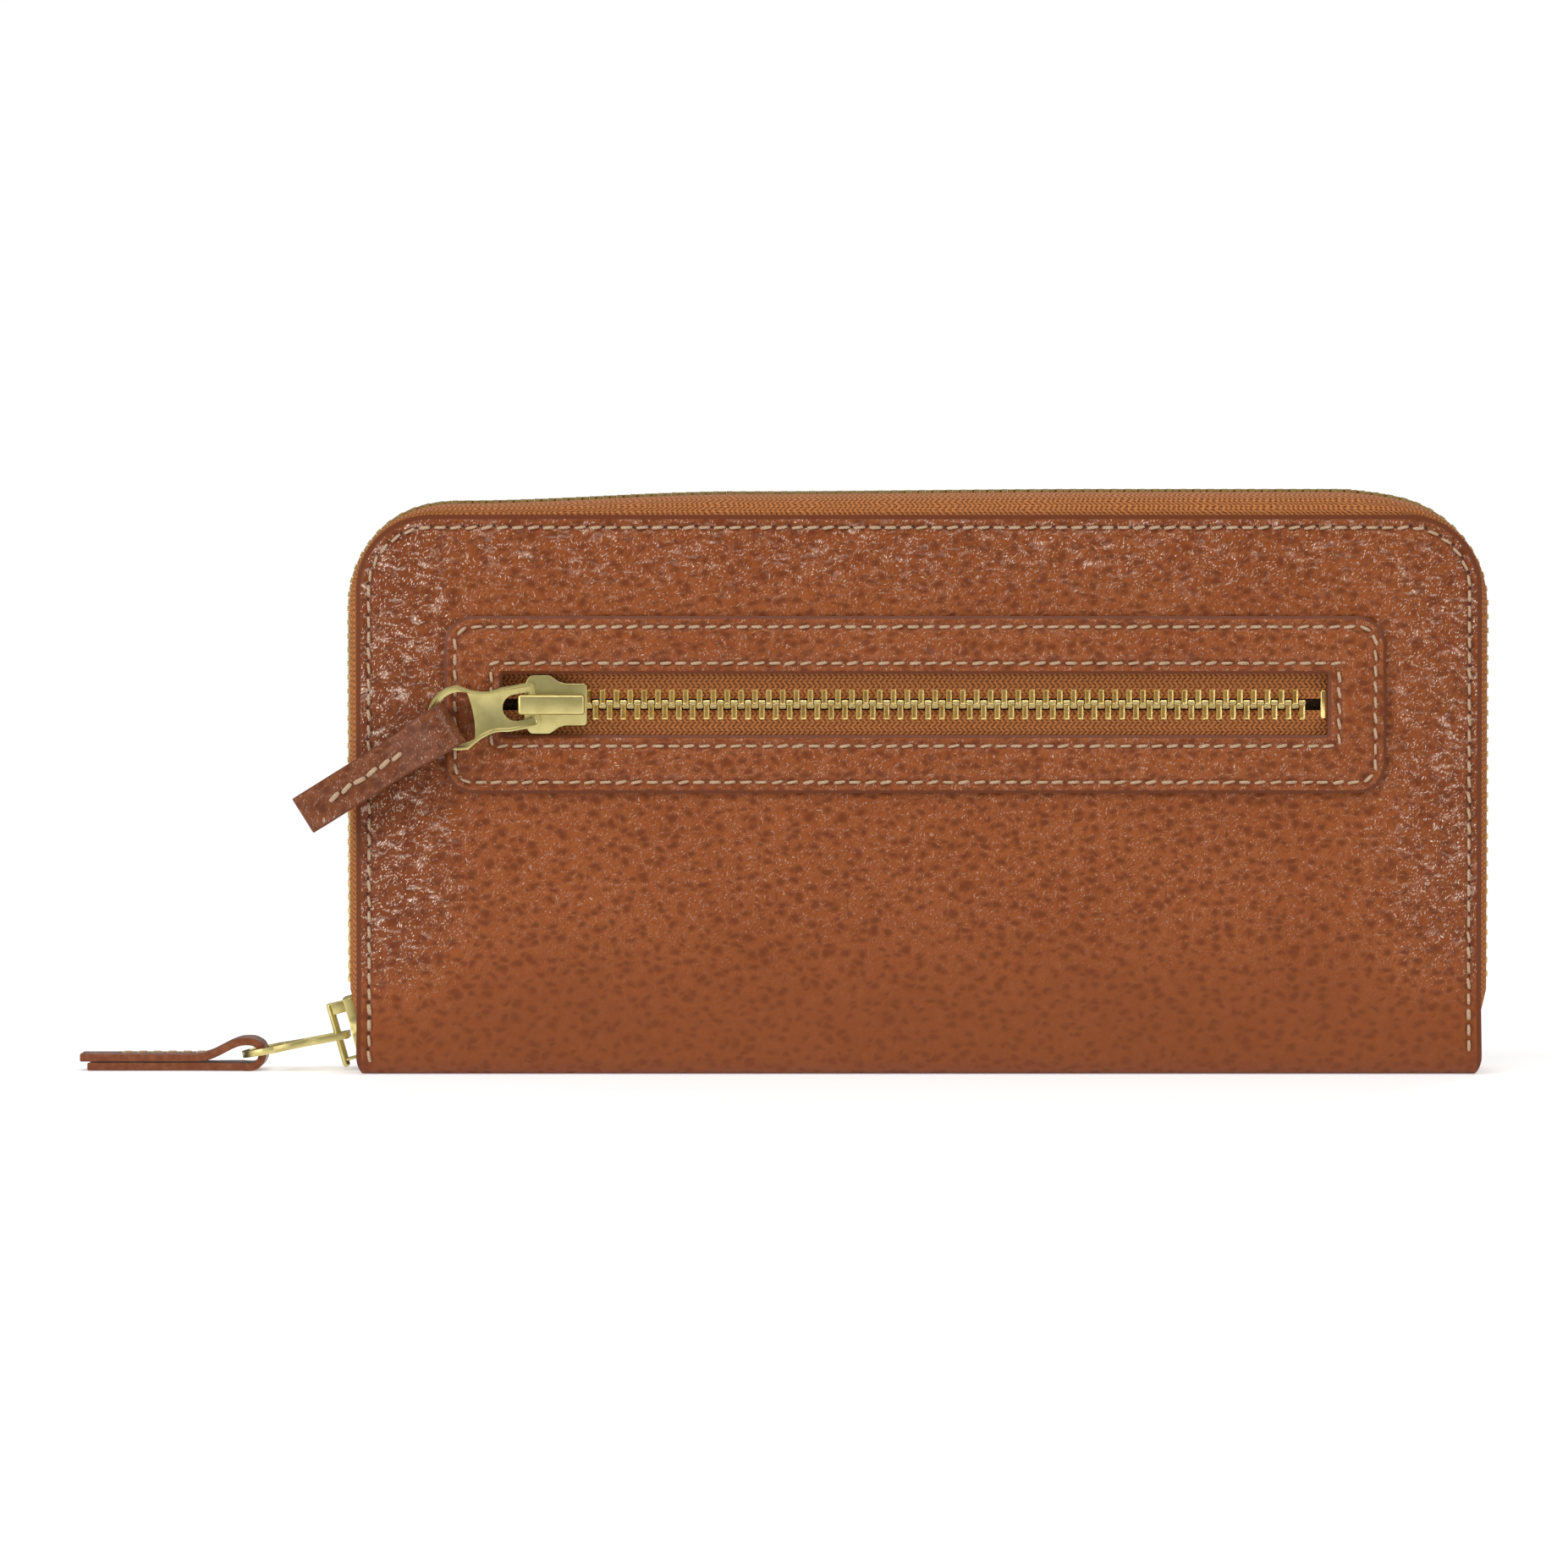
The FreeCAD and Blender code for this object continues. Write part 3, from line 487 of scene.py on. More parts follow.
class Recipe:
    """A material in the making."""

    def __init__(self, name: str) -> None:
        """Start a material with a bare shader.

        Args:
            name: Name of the material.
        """
        self.material = bpy.data.materials.new(name)
        self.material.use_nodes = True
        self.tree = self.material.node_tree
        self.shader = self.tree.nodes["Principled BSDF"]

    def node(self, kind: str, settings: dict[str, Any], inputs: dict[Any, Any],
             output: Union[int, str] = 0) -> Wire:
        """Add one node.

        Args:
            kind: The node's type.
            settings: Its own properties, set first.
            inputs: Values or wires of its sockets.
            output: Which output to hand back.

        Returns:
            The output as a wire.
        """
        node = self.tree.nodes.new(kind)
        for name, value in settings.items():
            setattr(node, name, value)
        for key, value in inputs.items():
            self.feed(node.inputs[key], value)
        return Wire(self, node.outputs[output])

    def feed(self, socket: bpy.types.NodeSocket, value: Any) -> None:
        """Give a socket a wire or a constant.

        Args:
            socket: Input socket.
            value: Wire, number, vector or colour.
        """
        if isinstance(value, Wire):
            self.tree.links.new(value.socket, socket)
        elif socket.type == "RGBA":
            socket.default_value = (*value, 1.0)
        else:
            socket.default_value = value

    def ground(self, ground: Ground) -> Wire:
        """Coordinates in millimetres.

        Args:
            ground: Surface or space.

        Returns:
            The coordinates as a vector.
        """
        raw = self.node("ShaderNodeTexCoord", {}, {}, ground.value)
        return self.vector("SCALE", raw, scale=1 / MM)

    def vector(self, operation: str, first: Any, second: Any = (0.0, 0.0, 0.0),
               scale: float = 1.0) -> Wire:
        """One Vector Math node.

        Args:
            operation: What it does.
            first: First vector.
            second: Second vector.
            scale: Factor of a SCALE node.

        Returns:
            The vector.
        """
        inputs = {0: first, "Scale": scale} if operation == "SCALE" else {0: first, 1: second}
        return self.node("ShaderNodeVectorMath", {"operation": operation}, inputs)

    def part(self, vector: Wire, axis: str) -> Wire:
        """One component of a vector.

        Args:
            vector: Vector to split.
            axis: X, Y or Z.

        Returns:
            The component.
        """
        return self.node("ShaderNodeSeparateXYZ", {}, {0: vector}, axis)

    def noise(self, where: Wire, size: float, detail: float = 2.0, output: str = "Fac") -> Wire:
        """Soft noise.

        Args:
            where: Coordinates in millimetres.
            size: Size of its lumps in millimetres.
            detail: How many finer layers it has.
            output: Fac or Color.

        Returns:
            The noise.
        """
        inputs = {"Vector": where, "Scale": 1 / size, "Detail": detail}
        return self.node("ShaderNodeTexNoise", {}, inputs, output)

    def cells(self, where: Wire, ground: Ground, output: str = "Distance") -> Wire:
        """Irregular cells one unit wide.

        Args:
            where: Coordinates in cell widths.
            ground: Flat cells on a surface, solid cells in space.
            output: Distance or Color.

        Returns:
            The chosen output.
        """
        flat = "2D" if ground is Ground.SURFACE else "3D"
        settings = {"feature": "F1", "voronoi_dimensions": flat}
        return self.node("ShaderNodeTexVoronoi", settings, {"Vector": where, "Scale": 1.0}, output)

    def blend(self, share: Value, first: Any, second: Any) -> Wire:
        """Colour between two colours.

        Args:
            share: 0 for the first, 1 for the second.
            first: Colour or wire.
            second: Colour or wire.

        Returns:
            The colour.
        """
        node = self.tree.nodes.new("ShaderNodeMix")
        node.data_type = "RGBA"
        self.feed(node.inputs[0], share)
        self.feed(node.inputs[6], first)
        self.feed(node.inputs[7], second)
        return Wire(self, node.outputs[2])

    def mark(self, name: str) -> Wire:
        """A value kept on the surface.

        Args:
            name: Name of the mark.

        Returns:
            The value.
        """
        return self.node("ShaderNodeAttribute", {"attribute_name": name}, {}, "Fac")

    def relief(self, height: Wire, depth: float, strength: float = 1.0) -> Wire:
        """Normal from a height between 0 and 1.

        Args:
            height: The height.
            depth: Depth in millimetres.
            strength: How much of it shows.

        Returns:
            The normal.
        """
        inputs = {"Height": height, "Distance": depth * MM, "Strength": strength}
        return self.node("ShaderNodeBump", {}, inputs)

    def finish(self, **sockets: Any) -> bpy.types.Material:
        """Feed the shader and hand the material back.

        Args:
            **sockets: Shader sockets, with _ for a space.

        Returns:
            The material.
        """
        for name, value in sockets.items():
            self.feed(self.shader.inputs[name.replace("_", " ")], value)
        return self.material


@dataclass(frozen=True)
class Leather:
    """Glazed, tumbled cognac leather: sunken dark spots between finely creased ridges.

    A marked piece says on its surface how far the cut edge is, where painted glints and sheen go,
    and how far it is darkened towards the bottom as painted shade.
    """

    ground: Ground
    marked: bool = False
    ridge: Colour = (0.225, 0.052, 0.0095)
    pale: Colour = (0.335, 0.096, 0.0240)
    # Colour of the sunken spots, also used for painted shade between the ripples and in the stitch
    # groove.
    spot: Colour = (0.105, 0.019, 0.0026)
    # Colour of the painted highlights: glint flecks and sheen that stand in for reflections of the
    # lamps.
    painted_glint: Colour = (1.0, 0.84, 0.70)
    # Colour towards the bottom: painted shade where less light falls.
    foot: Colour = (0.198, 0.050, 0.0125)
    paint: Colour = (0.135, 0.034, 0.0105)
    spot_wide: float = 2.7
    spot_tall: float = 1.85
    spot_drift: float = 2.6
    crease_slant: float = -58.0
    grain_depth: float = 0.17
    gloss: float = 0.08
    # Level of painted glint and sheen on a piece without marks.
    plain_painted_sheen_and_shade: float = 0.15

    def material(self, name: str) -> bpy.types.Material:
        """Make the material.

        Args:
            name: Name of the material.

        Returns:
            The material.
        """
        recipe = Recipe(name)
        hide = recipe.ground(self.ground)
        # Where painted glints and sheen go; below zero the leather is darkened towards the bottom
        # as painted shade. It also raises the ripples in the bump.
        polish: Value = recipe.mark("polish") if self.marked else self.plain_painted_sheen_and_shade
        drift = recipe.vector("SUBTRACT", recipe.noise(hide, 3.1, 2.0, "Color"), (0.5, 0.5, 0.5))
        drifted = recipe.vector("ADD", hide, recipe.vector("SCALE", drift, scale=self.spot_drift))
        narrow = (1 / self.spot_wide, 1 / self.spot_tall, 1 / self.spot_tall)
        spaced = recipe.vector("MULTIPLY", drifted, narrow)
        lot = recipe.part(recipe.cells(spaced, self.ground, "Color"), "X")
        spot = 1 - (recipe.cells(spaced, self.ground) + lot * 0.20).step(0.08, 0.58)
        turned = recipe.node("ShaderNodeVectorRotate", {"rotation_type": "Z_AXIS"},
                             {"Vector": drifted, "Angle": math.radians(self.crease_slant)})
        fibre = recipe.vector("MULTIPLY", turned, (1.5, 4.2, 2.8))
        chance = recipe.part(recipe.cells(fibre, self.ground, "Color"), "Y")
        drawn = recipe.vector("MULTIPLY", drifted, (0.30, 1.0, 1.0))
        ripple = recipe.noise(drawn, 0.95, 2.0).step(0.50, 0.66)
        ripple = ripple * recipe.noise(hide, 4.5, 2.0).step(0.40, 0.58)
        # Glints: tiny pale flecks painted into the colour as painted highlights, gathered along the
        # ripples.
        lit = (chance + ripple * polish * 0.80).step(0.48, 0.80)
        fleck = recipe.cells(fibre, self.ground).step(0.34, 0.10) * lit
        crowd = recipe.noise(hide, 1.2, 2.0).step(0.30, 0.62)
        crinkle = recipe.noise(recipe.vector("MULTIPLY", turned, (0.55, 1.5, 1.0)), 0.42, 3.0)
        swell = recipe.noise(drifted, 1.5, 2.0)
        tone = recipe.noise(hide, 24.0, 3.0).step(0.3, 0.7)
        open_hide = 1 - spot * 0.85
        calm = (open_hide * 0.75 + polish).bounded()
        fleck = (fleck * open_hide * calm * (crowd + ripple * polish)).bounded()
        light = (swell * 1.1 + tone * 0.22 + crinkle * 0.5 - 0.50).bounded()
        colour = recipe.blend(light, self.ridge, self.pale)
        colour = recipe.blend((spot * 0.74).bounded(), colour, self.spot)
        crease = (crinkle.step(0.48, 0.30) * 0.7 * open_hide * calm).bounded()
        colour = recipe.blend(crease, colour, self.spot)
        # Painted shade in the valleys between the ripples of the side bands.
        painted_valley_shade = ((1 - ripple) * polish * 0.46).bounded()
        colour = recipe.blend(painted_valley_shade, colour, self.spot)
        # Sheen: painted highlight along the ripples of the side bands.
        sheen = (ripple * polish * (crinkle * 1.6 - 0.4) * 0.50).bounded()
        colour = recipe.blend(sheen, colour, self.painted_glint)
        # The glint flecks blended in as painted highlights.
        colour = recipe.blend((fleck * (polish * 0.75 + 0.50)).bounded(), colour, self.painted_glint)
        rough = 0.40 + spot * 0.10 - fleck * 0.16 + crinkle * 0.06
        height = crinkle * 0.75 * open_hide + fleck * 0.25 + swell * 0.45
        height = height - spot * 0.55 + ripple * polish * 0.5
        if self.marked:
            edge = recipe.mark("edge")
            # Darker towards the bottom: painted shade, blended in where the mark is below zero.
            colour = recipe.blend(((0 - polish) * 0.95).bounded(), colour, self.foot)
            band = (edge + crinkle * 0.18).step(1.05, 0.80)
            seam = (1 - (edge - 2.25).step(0.0, 0.9)) * (edge - 1.0).step(0.0, 1.1)
            colour = recipe.blend(band, colour, self.paint)
            # The stitch groove darkened as painted shade; its dip in the bump is relief.
            colour = recipe.blend(seam * 0.22, colour, self.spot)
            height = height * (1 - band * 0.9) - seam * 0.8
        normal = recipe.relief(height, self.grain_depth)
        return recipe.finish(Base_Color=colour, Roughness=rough, Normal=normal,
                             Specular_IOR_Level=0.17, Coat_Weight=self.gloss, Coat_Roughness=0.18)


@dataclass(frozen=True)
class EdgePaint:
    """Burnished, painted cut edge of the leather."""

    colour: Colour = (0.165, 0.046, 0.017)
    worn: Colour = (0.235, 0.078, 0.034)

    def material(self, name: str) -> bpy.types.Material:
        """Make the material.

        Args:
            name: Name of the material.

        Returns:
            The material.
        """
        recipe = Recipe(name)
        where = recipe.ground(Ground.SPACE)
        streak = recipe.noise(recipe.vector("MULTIPLY", where, (1.0, 3.0, 1.0)), 1.3, 3.0)
        colour = recipe.blend(streak.step(0.35, 0.75), self.colour, self.worn)
        normal = recipe.relief(streak, 0.05)
        return recipe.finish(Base_Color=colour, Roughness=0.42 + streak * 0.2, Normal=normal,
                             Specular_IOR_Level=0.18)


@dataclass(frozen=True)
class Thread:
    """Waxed cream thread."""

    light: Colour = (0.64, 0.47, 0.31)
    # dark: the dark end of the blend, painted shade in the grooves between the plies together with
    # random fibre tone.
    dark: Colour = (0.30, 0.17, 0.09)

    def material(self, name: str) -> bpy.types.Material:
        """Make the material.

        Args:
            name: Name of the material.

        Returns:
            The material.
        """
        recipe = Recipe(name)
        where = recipe.ground(Ground.SPACE)
        turned = recipe.part(where, "X") + recipe.part(where, "Z")
        ply = (turned * 11.0).wave() * 0.5 + 0.5
        fuzz = recipe.noise(where, 0.28, 3.0)
        # Ply stripes paint shade between the plies; the fuzz gives random fibre tone.
        colour = recipe.blend((ply * 0.45 + fuzz * 1.3 - 0.40).bounded(), self.dark, self.light)
        normal = recipe.relief(ply * 0.6 + fuzz * 0.4, 0.06)
        return recipe.finish(Base_Color=colour, Roughness=0.7 + fuzz * 0.1, Normal=normal)


@dataclass(frozen=True)
class Weave:
    """Twill zip tape or cloth in zigzag ribs."""

    ground: Ground
    light: Colour = (0.70, 0.262, 0.082)
    # dark: the dark end of the blend, painted shade in the grooves between ribs and picks together
    # with random fibre tone.
    dark: Colour = (0.090, 0.022, 0.005)
    rib: float = 0.92
    band: float = 0.80
    pick: float = 0.52

    def material(self, name: str) -> bpy.types.Material:
        """Make the material.

        Args:
            name: Name of the material.

        Returns:
            The material.
        """
        recipe = Recipe(name)
        where = recipe.ground(self.ground)
        wobble = recipe.noise(where, 1.6, 2.0)
        along = recipe.part(where, "X") + wobble * 0.35
        across = recipe.part(where, "Y" if self.ground is Ground.SURFACE else "Z")
        slant = across.there_and_back(self.band) * 0.9
        rib = ((along + slant) * (2 * math.pi / self.rib)).wave() * 0.5 + 0.5
        pick_line = (across * (2 * math.pi / self.pick)).wave() * 0.5 + 0.5
        fuzz = recipe.noise(where, 0.22, 2.0)
        height = rib * 0.6 + pick_line * 0.3 * rib + fuzz * 0.5
        # Painted shade in the grooves between ribs and picks, with random fibre tone from the fuzz.
        shade_of = (rib * 0.50 + pick_line * 0.26 + fuzz * 1.5 - 0.66).bounded()
        colour = recipe.blend(shade_of, self.dark, self.light)
        normal = recipe.relief(height, 0.20)
        return recipe.finish(Base_Color=colour, Roughness=0.72 + fuzz * 0.12, Normal=normal,
                             Specular_IOR_Level=0.15)


@dataclass(frozen=True)
class Metal:
    """Brass, satin or polished."""

    colour: Colour
    dull: Colour
    roughness: float
    scratch: float = 0.02

    def material(self, name: str) -> bpy.types.Material:
        """Make the material.

        Args:
            name: Name of the material.

        Returns:
            The material.
        """
        recipe = Recipe(name)
        where = recipe.ground(Ground.SPACE)
        cloud = recipe.noise(where, 2.2, 3.0)
        brushed = recipe.noise(recipe.vector("MULTIPLY", where, (0.6, 3.0, 3.0)), 0.35, 3.0)
        colour = recipe.blend(cloud.step(0.35, 0.75), self.colour, self.dull)
        rough = self.roughness + cloud * 0.08 + brushed * 0.10
        normal = recipe.relief(brushed, self.scratch)
        return recipe.finish(Base_Color=colour, Roughness=rough, Metallic=1.0, Normal=normal)


@dataclass(frozen=True)
class Plain:
    """Quiet cloth, board, or a dark disc painted as the shade inside a needle hole."""

    colour: Colour
    fleck: Colour
    size: float
    roughness: float = 0.8

    def material(self, name: str) -> bpy.types.Material:
        """Make the material.

        Args:
            name: Name of the material.

        Returns:
            The material.
        """
        recipe = Recipe(name)
        where = recipe.ground(Ground.SPACE)
        fleck = recipe.noise(where, self.size, 3.0)
        colour = recipe.blend(fleck.step(0.3, 0.7), self.colour, self.fleck)
        normal = recipe.relief(fleck, 0.05)
        rough = self.roughness + fleck * 0.1
        return recipe.finish(Base_Color=colour, Roughness=rough, Normal=normal)


class Finishes:
    """All the wallet's materials."""

    def __init__(self) -> None:
        """Make each material once."""
        self.leather = Leather(Ground.SURFACE).material("cognac_leather")
        self.cover = Leather(Ground.SURFACE, marked=True).material("cognac_cover_leather")
        dark_hide = Leather(Ground.SURFACE, marked=True, ridge=(0.165, 0.042, 0.0100),
                            pale=(0.255, 0.080, 0.0260), spot=(0.085, 0.017, 0.0035), gloss=0.30)
        self.strap = dark_hide.material("cognac_strap_leather")
        self.paint = EdgePaint().material("painted_edge")
        self.thread = Thread().material("cream_thread")
        # Needle hole: a dark disc painted as the shade inside the hole.
        self.hole = Plain((0.030, 0.010, 0.004), (0.05, 0.015, 0.006), 0.4).material("needle_hole_shade")
        self.tape = Weave(Ground.SURFACE).material("zip_tape_twill")
        self.lining = Weave(Ground.SURFACE, (0.20, 0.125, 0.075), (0.075, 0.042, 0.024), 0.6,
                            0.6).material("lining_twill")
        self.bag = Weave(Ground.SPACE, (0.20, 0.125, 0.075), (0.075, 0.042, 0.024), 0.6,
                         0.6).material("pocket_bag_twill")
        self.teeth = Metal((0.95, 0.74, 0.31), (0.80, 0.58, 0.21), 0.11).material("polished_teeth")
        self.shade = Metal((0.44, 0.28, 0.085), (0.28, 0.16, 0.045), 0.30).material("shaded_brass")
        self.brass = Metal((0.66, 0.57, 0.235), (0.56, 0.47, 0.18), 0.27).material("satin_brass")
        self.board = Plain((0.16, 0.12, 0.09), (0.22, 0.17, 0.12), 0.8).material("grey_board")


# ---------------------------------------------------------------- paths


@dataclass(frozen=True)
class Arch:
    """Path up the left side, round the corner, over the top and down the right side.

    A station runs from 0 to 5: leg, corner, top, corner, leg.
    """

    half: float
    top: float
    radius: float
    foot: float
    knee: float = 0.0
    lean: float = 0.0

    def at(self, station: float) -> Point:
        """Place of a station.

        Args:
            station: From 0 to 5.

        Returns:
            X and Z in millimetres.
        """
        if station > 2.5:
            x, z = self.at(5 - station)
            return -x, z
        shoulder = self.top - self.radius
        if station < 1:
            z = self.foot + station * (shoulder - self.foot)
            inward = max(0.0, self.knee - z) * math.tan(math.radians(self.lean))
            return -self.half + inward, z
        if station < 2:
            angle = (station - 1) * math.pi / 2
            x = -self.half + self.radius * (1 - math.cos(angle))
            return x, shoulder + self.radius * math.sin(angle)
        left = -self.half + self.radius
        return left - (station - 2) * 2 * left, self.top

    def lengths(self, count: int = 1000) -> list[Point]:
        """Length along the path at many stations.

        Args:
            count: How many steps are taken.

        Returns:
            Pairs of length and station.
        """
        table = [(0.0, 0.0)]
        for number in range(1, count + 1):
            station = 5 * number / count
            x, z = self.at(station)
            before_x, before_z = self.at(table[-1][1])
            table.append((table[-1][0] + math.hypot(x - before_x, z - before_z), station))
        return table

    def beats(self, pitch: float, start: float, end: float) -> list[float]:
        """Stations an equal way apart.

        Args:
            pitch: Distance between two of them in millimetres.
            start: Length left free at the first end.
            end: Length left free at the last end.

        Returns:
            The stations.
        """
        table = self.lengths()
        found = []
        target = start
        for (a, low), (b, high) in zip(table, table[1:]):
            while a <= target < b and target <= table[-1][0] - end:
                found.append(low + (high - low) * (target - a) / (b - a))
                target += pitch
        return found

    def heading(self, station: float) -> Vector:
        """Direction of the path at a station.

        Args:
            station: From 0 to 5.

        Returns:
            Unit vector.
        """
        x0, z0 = self.at(max(0.0, station - 0.004))
        x1, z1 = self.at(min(5.0, station + 0.004))
        return Vector((x1 - x0, 0, z1 - z0)).normalized()


@dataclass(frozen=True)
class Ring:
    """Closed path round a rectangle with round corners."""

    centre_x: float
    centre_z: float
    width: float
    height: float
    radius: float

    def walk(self, share: float) -> tuple[Vector, Vector]:
        """Place and direction a share of the way round.

        Args:
            share: From 0 to 8: bottom, corner, right, corner, top, corner, left, corner.

        Returns:
            The place in millimetres and the direction.
        """
        leg = int(share) % 8
        part = share - int(share)
        quarter = leg // 2
        half_x = self.width / 2 - self.radius
        half_z = self.height / 2 - self.radius
        turn = Matrix.Rotation(-quarter * math.pi / 2, 3, "Y")
        run, out = (half_x, half_z) if quarter % 2 == 0 else (half_z, half_x)
        if leg % 2 == 0:
            spot = Vector((-run + part * 2 * run, 0, -out - self.radius))
            ahead = Vector((1, 0, 0))
        else:
            angle = part * math.pi / 2
            sine, cosine = math.sin(angle), math.cos(angle)
            spot = Vector((run + self.radius * sine, 0, -out - self.radius * cosine))
            ahead = Vector((cosine, 0, sine))
        return turn @ spot + Vector((self.centre_x, 0, self.centre_z)), turn @ ahead

    def beats(self, pitch: float) -> list[tuple[Vector, Vector]]:
        """Places an equal way apart all round.

        Args:
            pitch: Wanted distance in millimetres.

        Returns:
            Places and directions.
        """
        steps = 1600
        spots = [self.walk(8 * k / steps) for k in range(steps + 1)]
        length = [0.0]
        for (a, _), (b, _) in zip(spots, spots[1:]):
            length.append(length[-1] + (b - a).length)
        count = round(length[-1] / pitch)
        shares = [(distance, 8 * k / steps) for k, distance in enumerate(length)]
        places = [(number + 0.5) * length[-1] / count for number in range(count)]
        return [self.walk(through(shares, place)) for place in places]


# ---------------------------------------------------------------- patterns


@dataclass
class Stitch:
    """One stitch with a dark disc painted as the shade of its needle hole, along X and standing up
    along Z.
    """

    length: float = 1.95
    radius: float = 0.27
    pitch: float = 2.7
    proud: float = 0.16
    straight: float = 0.56
    end_taper: float = 0.7
    hole_radius: float = 0.26
    hole_rim: float = 0.08

    def pattern(self, finishes: Finishes) -> bpy.types.Object:
        """Model the stitch once.

        Args:
            finishes: The wallet's materials.

        Returns:
            The pattern.
        """
        put_down()
        middle = self.length * self.straight * MM
        bpy.ops.mesh.primitive_cylinder_add(vertices=8, radius=self.radius * MM, depth=middle,
                                            rotation=(0, math.pi / 2, 0))
        bpy.ops.object.transform_apply(location=False, rotation=True, scale=False)
        loop = bpy.context.object
        run, dip = self.length * 0.22 * MM, -self.radius * 0.75 * MM
        with on_bench(loop):
            for way in (1, -1):
                pick(loop, lambda centre, normal: normal.x * way > 0.9)
                bpy.ops.mesh.extrude_region_move(
                    TRANSFORM_OT_translate={"value": (run * way, 0, dip)})
                bpy.ops.transform.resize(value=(self.end_taper,) * 3)
        loop.data.transform(Matrix.Translation((0, 0, self.proud * MM)))
        put_down()
        # A dark disc that paints the shade of the needle hole beside the stitch.
        bpy.ops.mesh.primitive_circle_add(vertices=8, radius=self.hole_radius * MM,
                                          fill_type="NGON",
                                          location=(self.pitch / 2 * MM, 0, 0.03 * MM))
        hole = bpy.context.object
        with on_bench(hole):
            bpy.ops.mesh.select_all(action="SELECT")
            bpy.ops.mesh.inset(thickness=self.hole_rim * MM)
            bpy.ops.transform.translate(value=(0, 0, -0.02 * MM))
        bpy.ops.object.transform_apply(location=True, rotation=False, scale=False)
        dress(loop, [finishes.thread])
        dress(hole, [finishes.hole])
        whole = joined("stitch_pattern", [loop, hole])
        shade(whole, 60.0)
        return whole


@dataclass
class Tooth:
    """One tooth: leg along -Y, head along +Y, faces along Z."""

    width: float = 5.2
    leg: float = 0.98
    thick: float = 2.2
    head: float = 1.18
    gap: float = 0.1
    recess_rim: float = 0.26
    recess_depth: float = 0.22

    def pattern(self, finishes: Finishes) -> bpy.types.Object:
        """Model the tooth once.

        Args:
            finishes: The wallet's materials.

        Returns:
            The pattern.
        """
        put_down()
        length = self.width / 2 - self.gap
        bpy.ops.mesh.primitive_cube_add(size=MM, location=(0, -(length / 2 + self.gap) * MM, 0),
                                        scale=(self.leg, length, self.thick))
        bpy.ops.object.transform_apply(location=True, rotation=True, scale=True)
        piece = bpy.context.object
        dress(piece, [finishes.teeth, finishes.shade])
        grow = self.head / self.leg
        with on_bench(piece):
            for way in (1, -1):
                pick(piece, lambda centre, normal: normal.z * way > 0.9)
                bpy.ops.mesh.inset(thickness=self.recess_rim * MM)
                bpy.ops.transform.translate(value=(0, 0, -self.recess_depth * way * MM))
                piece.active_material_index = 1
                bpy.ops.object.material_slot_assign()
            pick(piece, lambda centre, normal: normal.y > 0.9)
            for reach, wide in ((0.22, grow), (0.42, 1.0), (0.20, 0.72)):
                bpy.ops.mesh.extrude_region_move(
                    TRANSFORM_OT_translate={"value": (0, reach * MM, 0)})
                bpy.ops.transform.resize(value=(wide, 1.0, 1.0 if wide >= 1 else 0.86))
        piece.name = "tooth_pattern"
        return piece


# ---------------------------------------------------------------- covers


